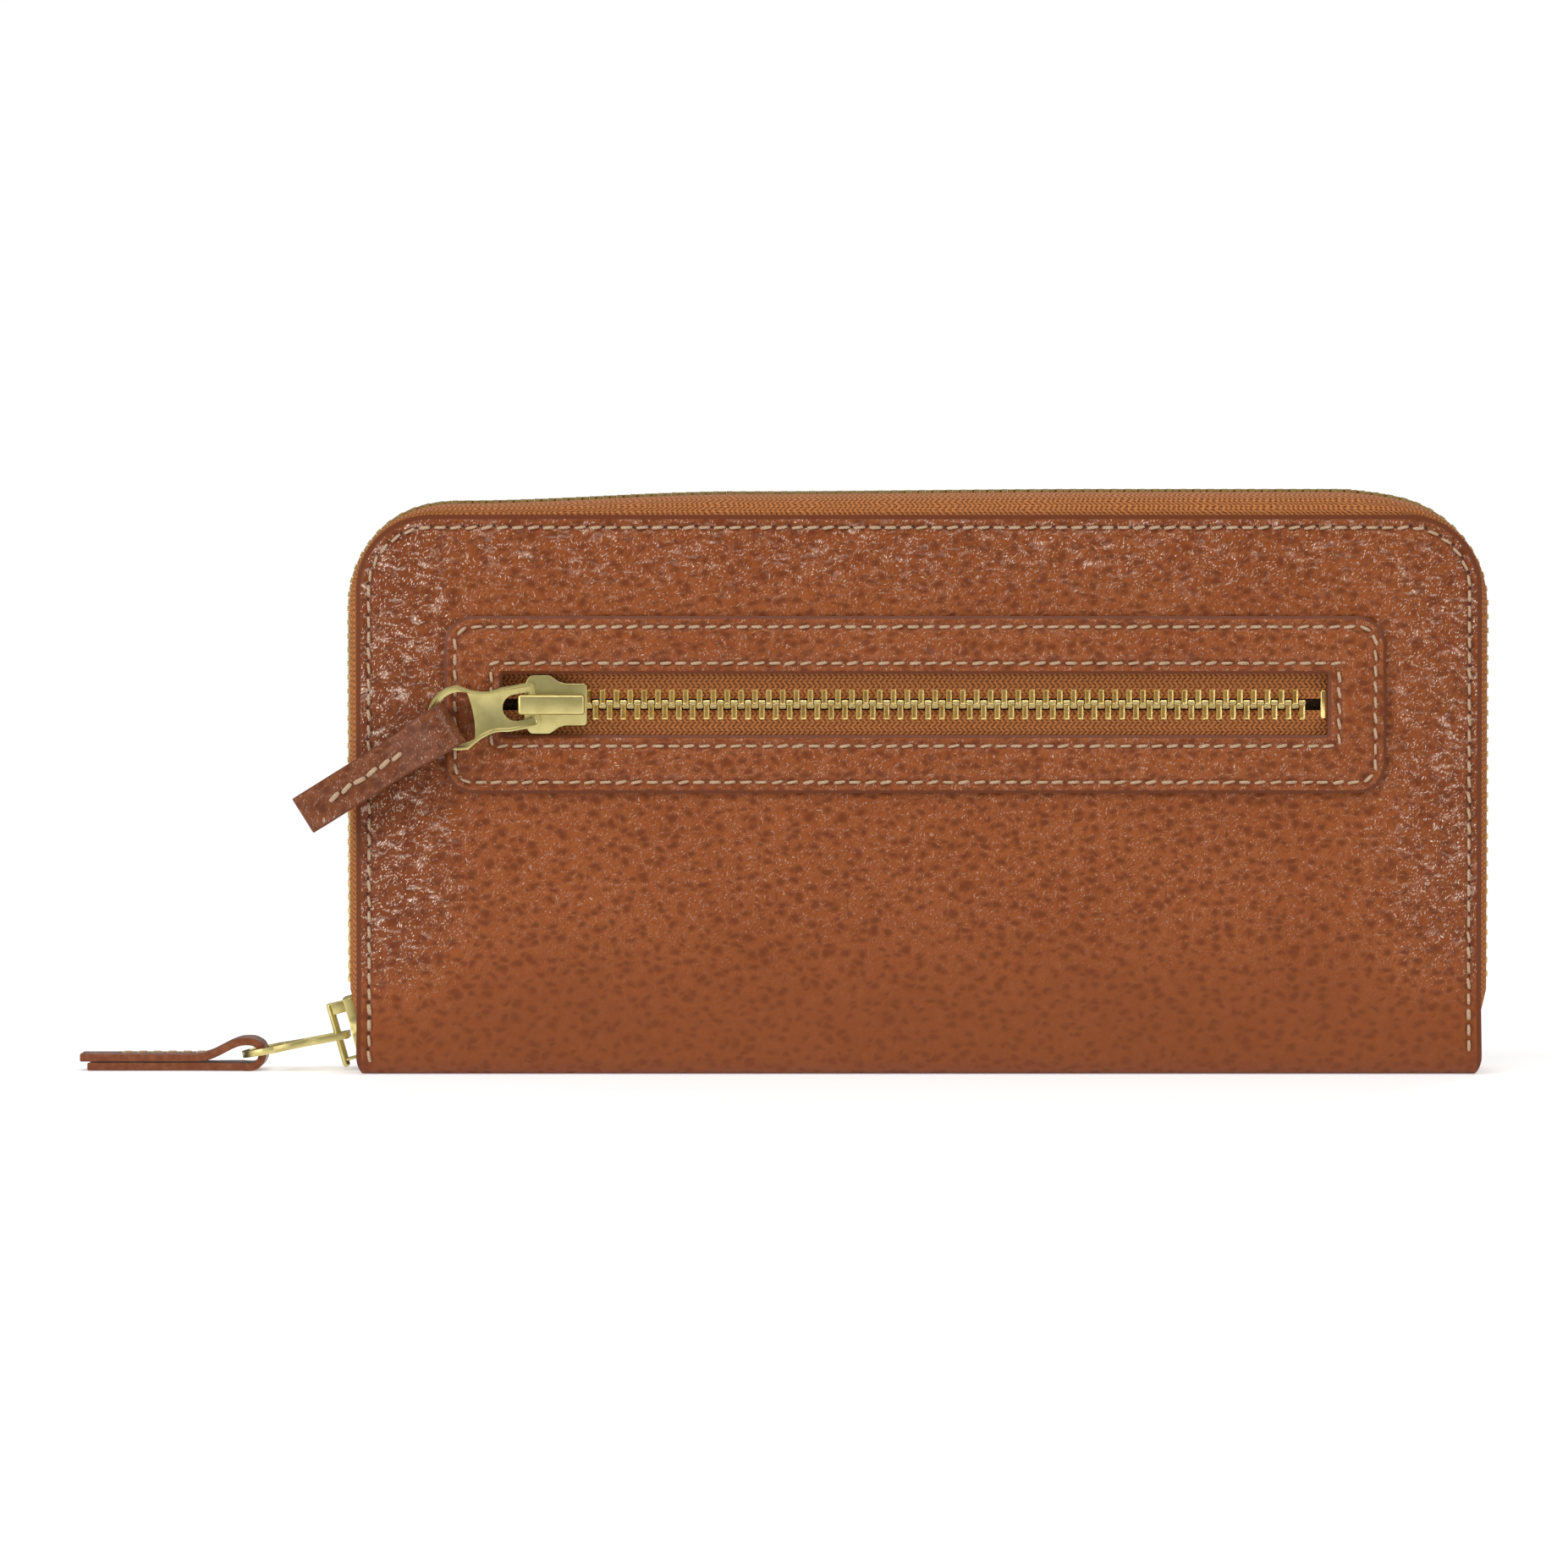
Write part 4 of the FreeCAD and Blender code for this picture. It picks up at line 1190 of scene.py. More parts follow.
@dataclass
class Cover:
    """Leather of one cover, rolled under into its half of the spine."""

    side: Side
    half_width: float = 98.0
    height: float = 97.5
    half_depth: float = 13.0
    corner: float = 13.0
    roll: float = 3.5
    leather: float = 1.4
    stitch_inset: float = 2.25
    round_side: float = 1.5
    round_top: float = 0.9
    mesh_step: float = 2.6
    knot_row: Point = (8.0, 13.0)
    knot_thick: float = 1.35
    window: Optional[tuple[float, float, float, float]] = None

    def reach(self, z: float) -> float:
        """Half width of the cover at a height.

        Args:
            z: Height in millimetres.

        Returns:
            Half width in millimetres.
        """
        low = 0.9 * (1 - min(z, 3.0) / 3.0) ** 2
        rise = max(0.0, z - (self.height - self.corner))
        bend = self.corner - math.sqrt(max(0.0, self.corner**2 - rise**2))
        return self.half_width - low - bend

    def inset(self, x: float, z: float) -> float:
        """Distance of a point from the cover's edge.

        Args:
            x: Place across.
            z: Height.

        Returns:
            Distance in millimetres.
        """
        over_x = abs(x) - (self.half_width - self.corner)
        over_z = z - (self.height - self.corner)
        if over_x > 0 and over_z > 0:
            return self.corner - math.hypot(over_x, over_z)
        return min(self.half_width - abs(x), self.height - z)

    def sink(self, x: float, z: float) -> float:
        """How far the leather lies back from its foremost plane.

        Args:
            x: Place across.
            z: Height.

        Returns:
            Depth in millimetres.
        """
        fade = ease(z, 2.0, 16.0)
        aside = max(0.0, 1 - (self.half_width - abs(x)) / 15.0) ** 2
        above = max(0.0, 1 - (self.height - z) / 9.0) ** 2
        calm = 1 - ease(abs(x), 78.0, 96.0)
        ripple = 0.10 * math.sin(x * 0.11 + z * 0.05) * math.sin(z * 0.13 - x * 0.03)
        rounding = fade * (self.round_side * aside + self.round_top * above)
        return rounding + ripple * ease(z, 6, 24) * calm

    def face(self, x: float, z: float) -> float:
        """Y of the outer face at a point of the upright part.

        Args:
            x: Place across.
            z: Height.

        Returns:
            Y in millimetres.
        """
        return self.side.value * (self.half_depth - self.sink(x, z))

    def bend_length(self) -> float:
        """Length along the leather from the spine's middle to the end of the roll."""
        return self.half_depth - self.roll + self.roll * math.pi / 2

    def height_at(self, along: float) -> float:
        """Height of a point that far along the leather from the spine's middle.

        Args:
            along: Length in millimetres.

        Returns:
            Height in millimetres.
        """
        flat = self.half_depth - self.roll
        if along <= flat:
            return 0.0
        if along <= self.bend_length():
            return self.roll * (1 - math.cos((along - flat) / self.roll))
        return self.roll + along - self.bend_length()

    def place(self, across: float, along: float) -> Sequence[float]:
        """Place on the leather.

        Args:
            across: Share of the half width, -1 to 1.
            along: Length from the spine's middle.

        Returns:
            Place in millimetres.
        """
        z = self.height_at(along)
        x = across * self.reach(z)
        flat = self.half_depth - self.roll
        if along <= flat:
            return x, self.side.value * along, z
        if along <= self.bend_length():
            turn = (along - flat) / self.roll
            return x, self.side.value * (flat + self.roll * math.sin(turn)), z
        return x, self.face(x, z), z

    def polish(self, x: float, z: float) -> float:
        """Where painted glints and sheen go, and how far the bottom is darkened as painted shade.

        Args:
            x: Place across.
            z: Height.

        Returns:
            A number from -0.6 to 1: painted sheen above zero, painted shade below.
        """
        aside = ease(abs(x), 74.0, 92.0) * (1.0 if x < 0 else 0.6)
        above = 0.4 * ease(z, 78.0, 92.0)
        return max(aside, above) * ease(z, 4.0, 26.0) - 0.6 * (1 - ease(z, 4.0, 34.0))

    def skin(self, finishes: Finishes) -> bpy.types.Object:
        """Model the leather.

        Args:
            finishes: The wallet's materials.

        Returns:
            The piece.
        """
        beside = [0.0, 0.4, 0.8, 1.2, 1.8, 2.4, 3.2, 4.4, 6.0, 8.0, 10.5, 13.0]
        below = [0.0, 0.08, 0.3, 0.6, 1.0, 1.5, 2.0, 2.6, 3.3, 4.2, 5.2, 6.4, 7.8, 9.4, 11.2, 13.0]
        columns = [-self.half_width + step for step in beside]
        columns += [self.half_width - step for step in beside]
        lift = self.bend_length() - self.roll
        rows = [0.0, self.half_depth - self.roll] + [self.height - step + lift for step in below]
        rows += [self.half_depth - self.roll + self.roll * math.pi / 2 * k / 6 for k in range(1, 7)]
        if self.window:
            left, right, low, high = self.window
            columns += [left, right]
            rows += [low + lift, high + lift]
        columns = [x / self.half_width for x in spread(sorted(columns), self.mesh_step)]
        rows = spread(sorted(rows), self.mesh_step)
        way = -self.side.value

        def station(across: float, along: float) -> Point:
            """X and Z of a station pair."""
            spot = self.place(across * way, along)
            return spot[0], spot[2]

        piece = sheet(
            f"{self.side.word}_cover_skin", columns, rows,
            lambda a, b: self.place(a * way, b),
            lambda a, b: (station(a, b)[0], way * b),
            # Marks: distance from the edge, and where painted glints and sheen go and the bottom is
            # darkened as painted shade.
            {"edge": lambda a, b: self.inset(*station(a, b)),
             "polish": lambda a, b: self.polish(*station(a, b))},
        )
        if self.window:
            with on_bench(piece):
                pick(piece, lambda centre, normal: left < centre.x < right and low < centre.z < high
                     and abs(normal.y) > 0.5)
                bpy.ops.mesh.delete(type="FACE")
        dress(piece, [finishes.cover, finishes.paint])
        thicken(piece, self.leather)
        soften(piece, 0.32, 3)
        return piece

    def seam(self, stitch: Stitch, pattern: bpy.types.Object) -> bpy.types.Object:
        """Stitch the two sides and the top.

        Args:
            stitch: Sizes of the stitch.
            pattern: Modelled stitch.

        Returns:
            The row of stitches.
        """
        inset = self.stitch_inset
        path = Arch(self.half_width - inset, self.height - inset, self.corner - inset, 2.6)
        out = Vector((0, self.side.value, 0))
        chance = random.Random(7 + self.side.value)
        places = []
        for station in path.beats(stitch.pitch, 0.6, 0.6):
            x, z = path.at(station)
            ahead = path.heading(station)
            slant = Matrix.Rotation(math.radians(chance.uniform(0, 13)) * -self.side.value, 3, out)
            ahead = slant @ ahead
            knotted = self.knot_row[0] < z < self.knot_row[1]
            heavy = self.knot_thick if knotted else chance.uniform(0.9, 1.1)
            places.append(seat(ahead, out.cross(ahead) * heavy, out, (x, self.face(x, z), z)))
        return row_of(f"{self.side.word}_cover_seam", pattern, places)

    def build(self, finishes: Finishes, stitch: Stitch, pattern: bpy.types.Object) -> None:
        """Build and dress the cover.

        Args:
            finishes: The wallet's materials.
            stitch: Sizes of the stitch.
            pattern: Modelled stitch.
        """
        word = self.side.word
        skin = self.skin(finishes)
        nodes = [f"{word}_cover_leather"] + (["spine_leather"] if self.side is Side.FRONT else [])
        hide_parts(*nodes)
        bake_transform(skin)
        log.info("%s: %d faces", skin.name, len(skin.data.polygons))
        settle(self.seam(stitch, pattern), f"{word}_cover", f"{word}_cover_thread")


@dataclass
class Patch:
    """Puffed leather frame over the pocket zip with its two lines of stitching."""

    centre_x: float = -0.7
    centre_z: float = 64.5
    width: float = 163.7
    height: float = 30.8
    radius: float = 5.0
    thick: float = 1.2
    back: float = 13.0
    window_width: float = 143.5
    window_height: float = 10.6
    stitch_inset: float = 1.9
    puff: float = 0.42
    hide_x: float = 31.0
    hide_z: float = 57.0

    def crown(self, share: float) -> float:
        """Height of the leather over its back across the frame's band.

        Args:
            share: 0 at the outer edge, 1 at the window.

        Returns:
            Height in millimetres.
        """
        wide = (self.width - self.window_width) / 2
        edge = min(share, 1 - share) * wide
        dome = self.puff * math.sin(math.pi * share) ** 0.7
        groove = 0.30 * math.exp(-(((edge - self.stitch_inset) / 0.55) ** 2))
        return self.thick - 0.10 + dome - groove - 0.35 * (1 - ease(edge, 0.0, 0.9))

    def build(self, finishes: Finishes, stitch: Stitch, pattern: bpy.types.Object) -> None:
        """Build and dress the frame.

        Args:
            finishes: The wallet's materials.
            stitch: Sizes of the stitch.
            pattern: Modelled stitch.
        """
        outer = Ring(self.centre_x, self.centre_z, self.width, self.height, self.radius)
        inner = Ring(self.centre_x, self.centre_z, self.window_width, self.window_height, 0.6)
        wide = (self.width - self.window_width) / 2
        columns: list[float] = []
        for leg, count in enumerate((60, 8, 6, 8, 60, 8, 6, 8)):
            columns += [leg + k / count for k in range(count)]
        columns.append(7.999999)
        edges = [0.0, 0.2, 0.45, 0.8, 1.2, 1.55, 1.9, 2.25, 2.7, 3.4, 4.2]
        rows = sorted([edge / wide for edge in edges] + [1 - edge / wide for edge in edges] + [0.5])

        def place(share: float, across: float) -> Sequence[float]:
            """Place on the frame."""
            spot = outer.walk(share)[0].lerp(inner.walk(share)[0], across)
            return spot.x, -self.back - self.crown(across), spot.z

        def flat(share: float, across: float) -> Point:
            """Place on the hide."""
            spot = place(share, across)
            return spot[0] + self.hide_x, spot[2] + self.hide_z

        def edge(share: float, across: float) -> float:
            """Distance from the nearest cut edge."""
            return min(across, 1 - across) * wide

        # Marks: distance from the cut edge, and a low level of painted glint and sheen.
        piece = sheet("front_patch_frame", columns, rows, place, flat,
                      {"edge": lambda a, b: edge(a, b) + 0.35, "polish": lambda a, b: 0.10})
        with on_bench(piece):
            bpy.ops.mesh.select_all(action="SELECT")
            bpy.ops.mesh.remove_doubles(threshold=0.004 * MM)
        dress(piece, [finishes.cover, finishes.paint])
        thicken(piece, self.thick - 0.2)
        soften(piece, 0.22, 2)
        settle(piece, "front_cover", "front_patch")
        out = Vector((0, -1, 0))
        chance = random.Random(21)
        both = 2 * self.stitch_inset
        lines = {
            "patch_outer_thread": Ring(self.centre_x, self.centre_z, self.width - both,
                                       self.height - both, self.radius - self.stitch_inset),
            "patch_inner_thread": Ring(self.centre_x, self.centre_z, self.window_width + both,
                                       self.window_height + both, 0.5),
        }
        depth = -self.back - self.crown(self.stitch_inset / wide)
        for node, line in lines.items():
            places = []
            for spot, ahead in line.beats(stitch.pitch):
                slant = Matrix.Rotation(math.radians(chance.uniform(0, 13)), 3, out)
                ahead = slant @ ahead
                thick = chance.uniform(0.9, 1.12)
                places.append(seat(ahead, out.cross(ahead) * thick, out, (spot.x, depth, spot.z)))
            settle(row_of(node.replace("thread", "seam"), pattern, places), "front_cover", node)


# ---------------------------------------------------------------- zips


@dataclass
class MainZip:
    """Tape and teeth of the zip that closes the wallet, on one cover."""

    side: Side
    panel_half: float = 98.0
    panel_height: float = 97.5
    panel_corner: float = 13.0
    half: float = 99.0
    top: float = 100.5
    corner: float = 19.0
    foot: float = 2.7
    knee: float = 14.4
    lean: float = 16.0
    pitch: float = 2.41
    wall: float = 0.6
    cover_teeth: float = 0.50
    tape_step: float = 1.25

    def lift(self, x: float, z: float) -> float:
        """How far the soft top rises or droops from the straight path.

        Args:
            x: Place across.
            z: Height.

        Returns:
            Rise in millimetres.
        """
        stops = [(-95, -0.4), (-80, -1.45), (-31, 0.17), (31, 0.57), (74, 0.57), (84, -0.3)]
        return through(stops, x) * ease(z, 82.0, 99.0)

    def chain(self) -> Arch:
        """Path of the teeth."""
        return Arch(self.half, self.top, self.corner, self.foot, self.knee, self.lean)

    def section(self) -> list[tuple[float, float, float]]:
        """The tape's profile: inset from the cover's edge, share of the way to the chain, depth."""
        return [
            (5.0, 0.0, 11.35), (2.5, 0.0, 11.40), (0.8, 0.0, 11.30), (0.25, 0.20, 11.05),
            (0.0, 0.45, 10.4), (0.0, 0.70, 9.3), (0.0, 0.86, 7.9), (0.0, 0.96, 6.2),
            (0.0, 1.0, 4.6), (0.0, 1.0, 3.4), (0.0, 1.0, 2.45),
        ]

    def build(self, finishes: Finishes, tooth: bpy.types.Object) -> None:
        """Build and dress the tape and the teeth.

        Args:
            finishes: The wallet's materials.
            tooth: Modelled tooth.
        """
        chain = self.chain()
        sign = self.side.value
        section = self.section()
        table = chain.lengths(600)

        def place(station: float, row: float) -> Sequence[float]:
            """Place on the tape's outer face."""
            inset, share, depth = section[int(row)]
            panel = Arch(self.panel_half - inset, self.panel_height - inset,
                         self.panel_corner - inset, self.foot, self.knee, self.lean * 0.4)
            a_x, a_z = panel.at(station)
            b_x, b_z = chain.at(station)
            ahead = chain.heading(station)
            b_x -= ahead.z * self.cover_teeth
            b_z += ahead.x * self.cover_teeth + self.lift(b_x, b_z)
            x = a_x + (b_x - a_x) * share
            z = a_z + (b_z - a_z) * share
            return x, sign * depth, z

        def flat(station: float, row: float) -> Point:
            """Place on the flat tape."""
            near = min(table, key=lambda pair: abs(pair[1] - station))
            return near[0], row * self.tape_step

        columns = spread([0, 1, 2, 3, 4, 5], 0.031)
        if self.side is Side.BACK:
            columns = columns[::-1]
        rows = [float(row) for row in range(len(section))]
        tape = sheet(f"{self.side.word}_main_tape", columns, rows, place, flat)
        with on_bench(tape):
            bpy.ops.mesh.select_all(action="SELECT")
            bpy.ops.mesh.normals_make_consistent(inside=False)
        dress(tape, [finishes.tape])
        facing_out(tape, WALLET_MIDDLE)
        thicken(tape, self.wall, 0)
        shade(tape, 60.0)
        word = self.side.word
        settle(tape, f"{word}_cover", f"{word}_zip_tape")
        first = self.knee + 1.0 - self.foot
        start = first + (0.5 if self.side is Side.FRONT else 1.0) * self.pitch
        places = []
        for station in chain.beats(self.pitch, start, first):
            x, z = chain.at(station)
            ahead = chain.heading(station)
            middle = Vector((0, -sign, 0))
            along = ahead if self.side is Side.FRONT else -ahead
            out = along.cross(middle)
            places.append(seat(along, middle, out, (x, 0, z + self.lift(x, z))))
        settle(row_of(f"{word}_main_teeth", tooth, places), f"{word}_cover", f"{word}_zip_teeth")


def facing_out(piece: bpy.types.Object, centre: Vector) -> None:
    """Turn a sheet so that its faces look away from a point.

    Args:
        piece: Sheet to turn.
        centre: Point in millimetres that it looks away from.
    """
    score = 0.0
    for face in piece.data.polygons:
        score += face.normal.dot(face.center / MM - centre) * face.area
    if score < 0:
        with on_bench(piece):
            bpy.ops.mesh.select_all(action="SELECT")
            bpy.ops.mesh.flip_normals()


@dataclass
class PocketZip:
    """Tapes, teeth, stop and bag of the zip on the front."""

    centre_x: float = -0.7
    centre_z: float = 64.5
    chain_y: float = -11.35
    width: float = 156.0
    tape_half: float = 12.0
    tape_y: float = -11.6
    wall: float = 0.5
    pitch: float = 2.41
    window_right: float = 71.05
    first_tooth: float = -64.7
    stop_width: float = 1.2
    stop_height: float = 5.0
    stop_depth: float = 2.0

    def build(self, finishes: Finishes, tooth: bpy.types.Object) -> None:
        """Build and dress the zip.

        Args:
            finishes: The wallet's materials.
            tooth: Modelled tooth.
        """
        for word, way in (("upper", 1), ("lower", -1)):
            self.tape(finishes, word, way)
            self.row(tooth, word, way)
        self.stop(finishes)
        dress(frame["nodes"]["front_pocket_bag"], [finishes.bag])

    def tape(self, finishes: Finishes, word: str, way: int) -> None:
        """Build one half of the tape.

        Args:
            finishes: The wallet's materials.
            word: upper or lower.
            way: 1 for upper, -1 for lower.
        """
        left = self.centre_x - self.width / 2
        rows = [1.0, 1.6, 2.2, 2.8, 3.3, 3.9, 4.6, 5.3, 6.5, 9.0, self.tape_half]
        if way < 0:
            rows = [-row for row in rows[::-1]]

        def place(x: float, off: float) -> Sequence[float]:
            """Place on the tape's front face."""
            cord = 0.32 * math.exp(-(((abs(off) - 2.5) / 0.5) ** 2))
            sag = 0.06 * math.sin(x * 0.21) * ease(abs(off), 2, 6)
            return x, self.tape_y - cord + sag, self.centre_z + off

        piece = sheet(f"pocket_tape_{word}", spread([left, left + self.width], 2.5), rows, place,
                      lambda x, off: (x, off))
        dress(piece, [finishes.tape])
        thicken(piece, self.wall, 0)
        shade(piece, 60.0)
        settle(piece, "front_cover", f"pocket_zip_tape_{word}")

    def row(self, tooth: bpy.types.Object, word: str, way: int) -> None:
        """Build one row of teeth.

        Args:
            tooth: Modelled tooth.
            word: upper or lower.
            way: 1 for upper, -1 for lower.
        """
        shift = 0.0 if way > 0 else self.pitch / 2
        count = int((self.window_right - 2.0 - self.first_tooth) / self.pitch)
        out = (0, -1, 0)
        along = (-way, 0, 0)
        towards = (0, 0, -way)
        places = []
        for number in range(count):
            x = self.first_tooth + shift + number * self.pitch
            places.append(seat(along, towards, out, (x, self.chain_y, self.centre_z)))
        teeth = row_of(f"pocket_teeth_{word}", tooth, places)
        settle(teeth, "front_cover", f"pocket_zip_teeth_{word}")

    def stop(self, finishes: Finishes) -> None:
        """Build the crimped stop.

        Args:
            finishes: The wallet's materials.
        """
        x = self.window_right - 0.6
        half = self.stop_height / 2
        y = self.chain_y - self.stop_depth / 2
        wide = self.stop_width / 2
        lower = [(-1, -0.9), (-0.6, -1), (0.6, -1), (1, -0.9)]
        corners = lower + [(a, -b) for a, b in lower[::-1]]
        outline = [(x + a * wide, y, self.centre_z + b * half) for a, b in corners]
        piece = plate("pocket_crimped_stop", outline, (0, self.stop_depth, 0))
        dress(piece, [finishes.teeth])
        soften(piece, 0.2, 2)
        settle(piece, "front_cover", "pocket_zip_stop")


# ---------------------------------------------------------------- pulls


@dataclass
class Slider:
    """Slider plates, post and crown in their own frame: chain along X, crown towards -Y."""

    length: float = 10.9
    mouth: float = 10.2
    heel: float = 7.3
    plate: float = 1.1
    flange: float = 0.9
    play: float = 0.2
    thick: float = 2.2
    crown_width: float = 3.5
    crown_gap: float = 2.2
    crown_thick: float = 1.1
    overhang: float = 1.0
    foot: float = 0.45
    slot: float = 1.1

    def outline(self, trim: float = 0.0, stretch: float = 0.0) -> list[Point]:
        """Outline of a plate, wide lobes at the mouth and a square heel.

        Args:
            trim: How much narrower each side is.
            stretch: How much longer each end is.

        Returns:
            X and Z pairs, in order.
        """
        wide = self.mouth / 2 - trim
        slim = self.heel / 2 - trim
        left = -self.length / 2 - stretch
        right = self.length / 2 + stretch
        upper = [
            (left, wide * 0.56), (left + 0.20, wide * 0.70), (left + 0.55, wide * 0.86),
            (left + 0.95, wide * 0.96), (left + 1.35, wide), (left + 4.1, wide),
            (left + 4.6, wide * 0.98),
            (left + 5.3, slim + (wide - slim) * 0.58), (left + 6.0, slim + (wide - slim) * 0.24),
            (left + 6.8, slim + (wide - slim) * 0.06), (left + 7.5, slim),
            (right - 0.4, slim), (right, slim - 0.4),
        ]
        return upper + [(x, -z) for x, z in upper[::-1]]

    def body(self, name: str) -> bpy.types.Object:
        """Model the two plates, their lips and the post.

        Args:
            name: Name of the piece.

        Returns:
            The piece, in the slider's frame.
        """
        inner = self.thick / 2 + self.play
        outer = inner + self.plate
        whole = plate(name, [(x, -outer, z) for x, z in self.outline()], (0, 2 * outer, 0))
        channel = self.outline(self.flange, 2.0)
        cut(whole, plate("channel_tool", [(x, -inner, z) for x, z in channel], (0, 2 * inner, 0)))
        reach, half = self.length, self.slot / 2
        slot = [(-reach, -half, -reach), (reach, -half, -reach), (reach, -half, reach),
                (-reach, -half, reach)]
        cut(whole, plate("slot_tool", slot, (0, self.slot, 0)))
        soften(whole, 0.28, 3, 35.0)
        left = -self.length / 2
        wedge = [(left + 0.1, -0.65), (left + 1.0, -1.3), (left + 3.0, 0.0), (left + 1.0, 1.3),
                 (left + 0.1, 0.65)]
        post = plate("post", [(x, -inner, z) for x, z in wedge], (0, 2 * inner, 0))
        shade(post)
        return joined(name, [whole, post])

    def crown(self, name: str) -> bpy.types.Object:
        """Model the bridge that holds the pull tab.

        Args:
            name: Name of the piece.

        Returns:
            The piece, in the slider's frame.
        """
        base = self.thick / 2 + self.play + self.plate
        under = base + self.crown_gap
        top = under + self.crown_thick
        left = -self.length / 2
        right = self.length / 2 - 0.3
        half = self.crown_width / 2
        z = half - 0.1
        bar = [(left - self.overhang, -top, -half), (right, -top, -half), (right, -under, -half),
               (left - self.overhang, -under, -half)]
        bridge = plate(name, bar, (0, 0, 2 * half))
        soften(bridge, 0.52, 4, 30.0)
        feet = []
        for low, high in ((left, left + self.foot), (right - 2.2, right - 0.15)):
            foot = [(low, -under - 0.3, -z), (high, -under - 0.3, -z), (high, -base + 0.1, -z),
                    (low, -base + 0.1, -z)]
            feet.append(plate("foot", foot, (0, 0, 2 * z)))
            soften(feet[-1], 0.12, 2)
        return joined(name, [bridge, *feet])


@dataclass
class PullTab:
    """Pull tab in its own frame: bar on the Z axis, ring towards -X, thin along Y."""

    length: float = 18.6
    thick: float = 1.15
    fork: float = 7.8
    slot: float = 4.6
    slot_length: float = 5.4
    waist: float = 7.2
    bar: float = 1.0
    ring: float = 5.7
    band: float = 1.25
    open_ring: float = 1.9
    rim: float = 0.5
    rim_slope: float = 0.14
    rim_depth: float = 0.20
    tool: float = 6.0

    def outline(self) -> list[Point]:
        """The tab's outline as X and Z pairs, in order."""
        centre = -(self.length - self.ring)
        fork_end = -self.slot_length + 0.3
        tip = self.bar / 2 + 0.1
        start, finish, low = self.fork / 2, self.ring, self.waist / 2
        upper = [(tip, start - 0.5), (tip - 0.5, start), (fork_end + 1.5, start)]
        steps = 14
        for number in range(steps + 1):
            share = number / steps
            x = fork_end + (centre + 0.4 - fork_end) * share
            flare = (finish - low) * max(0.0, (share - 0.30) / 0.70) ** 1.7
            upper.append((x, low + (start - low) * max(0.0, 1 - share / 0.30) ** 2 + flare))
        for number in range(3, 18):
            angle = math.pi / 2 * (1 + number / 18)
            upper.append((centre + self.ring * math.cos(angle), self.ring * math.sin(angle)))
        return upper + [(-self.length, 0.0)] + [(x, -z) for x, z in upper[::-1]]

    def build(self, name: str) -> bpy.types.Object:
        """Model the tab.

        Args:
            name: Name of the piece.

        Returns:
            The piece, in the tab's frame.
        """
        half = self.thick / 2
        tab = plate(name, [(x, -half, z) for x, z in self.outline()], (0, 2 * half, 0))
        with on_bench(tab):
            for way in (-1, 1):
                pick(tab, lambda centre, normal: normal.y * way > 0.9)
                bpy.ops.mesh.inset(thickness=self.rim * MM)
                bpy.ops.mesh.inset(thickness=self.rim_slope * MM)
                bpy.ops.transform.translate(value=(0, -self.rim_depth * way * MM, 0))
        centre = -(self.length - self.ring)
        inside = self.ring - self.band
        stop = self.open_ring
        lean = math.acos(stop / inside)
        face = -self.tool / 2
        ring = []
        for number in range(37):
            angle = lean + (2 * math.pi - 2 * lean) * number / 36
            ring.append((centre + inside * math.cos(angle), face, inside * math.sin(angle)))
        low, high = -inside * math.sin(lean), inside * math.sin(lean)
        for number in range(1, 10):
            share = number / 10
            z = low + (high - low) * share
            ring.append((centre + stop + 0.45 * (1 - (2 * share - 1) ** 2), face, z))
        cut(tab, plate("ring_tool", ring, (0, self.tool, 0)))
        radius = self.slot / 2
        end = -self.slot_length + radius
        hole = []
        for number in range(17):
            angle = math.pi / 2 + math.pi * number / 16
            hole.append((end + radius * math.cos(angle), face, radius * math.sin(angle)))
        hole += [(-self.bar / 2, face, -radius), (-self.bar / 2, face, radius)]
        cut(tab, plate("slot_tool", hole, (0, self.tool, 0)))
        soften(tab, 0.16, 2, 35.0)
        return tab


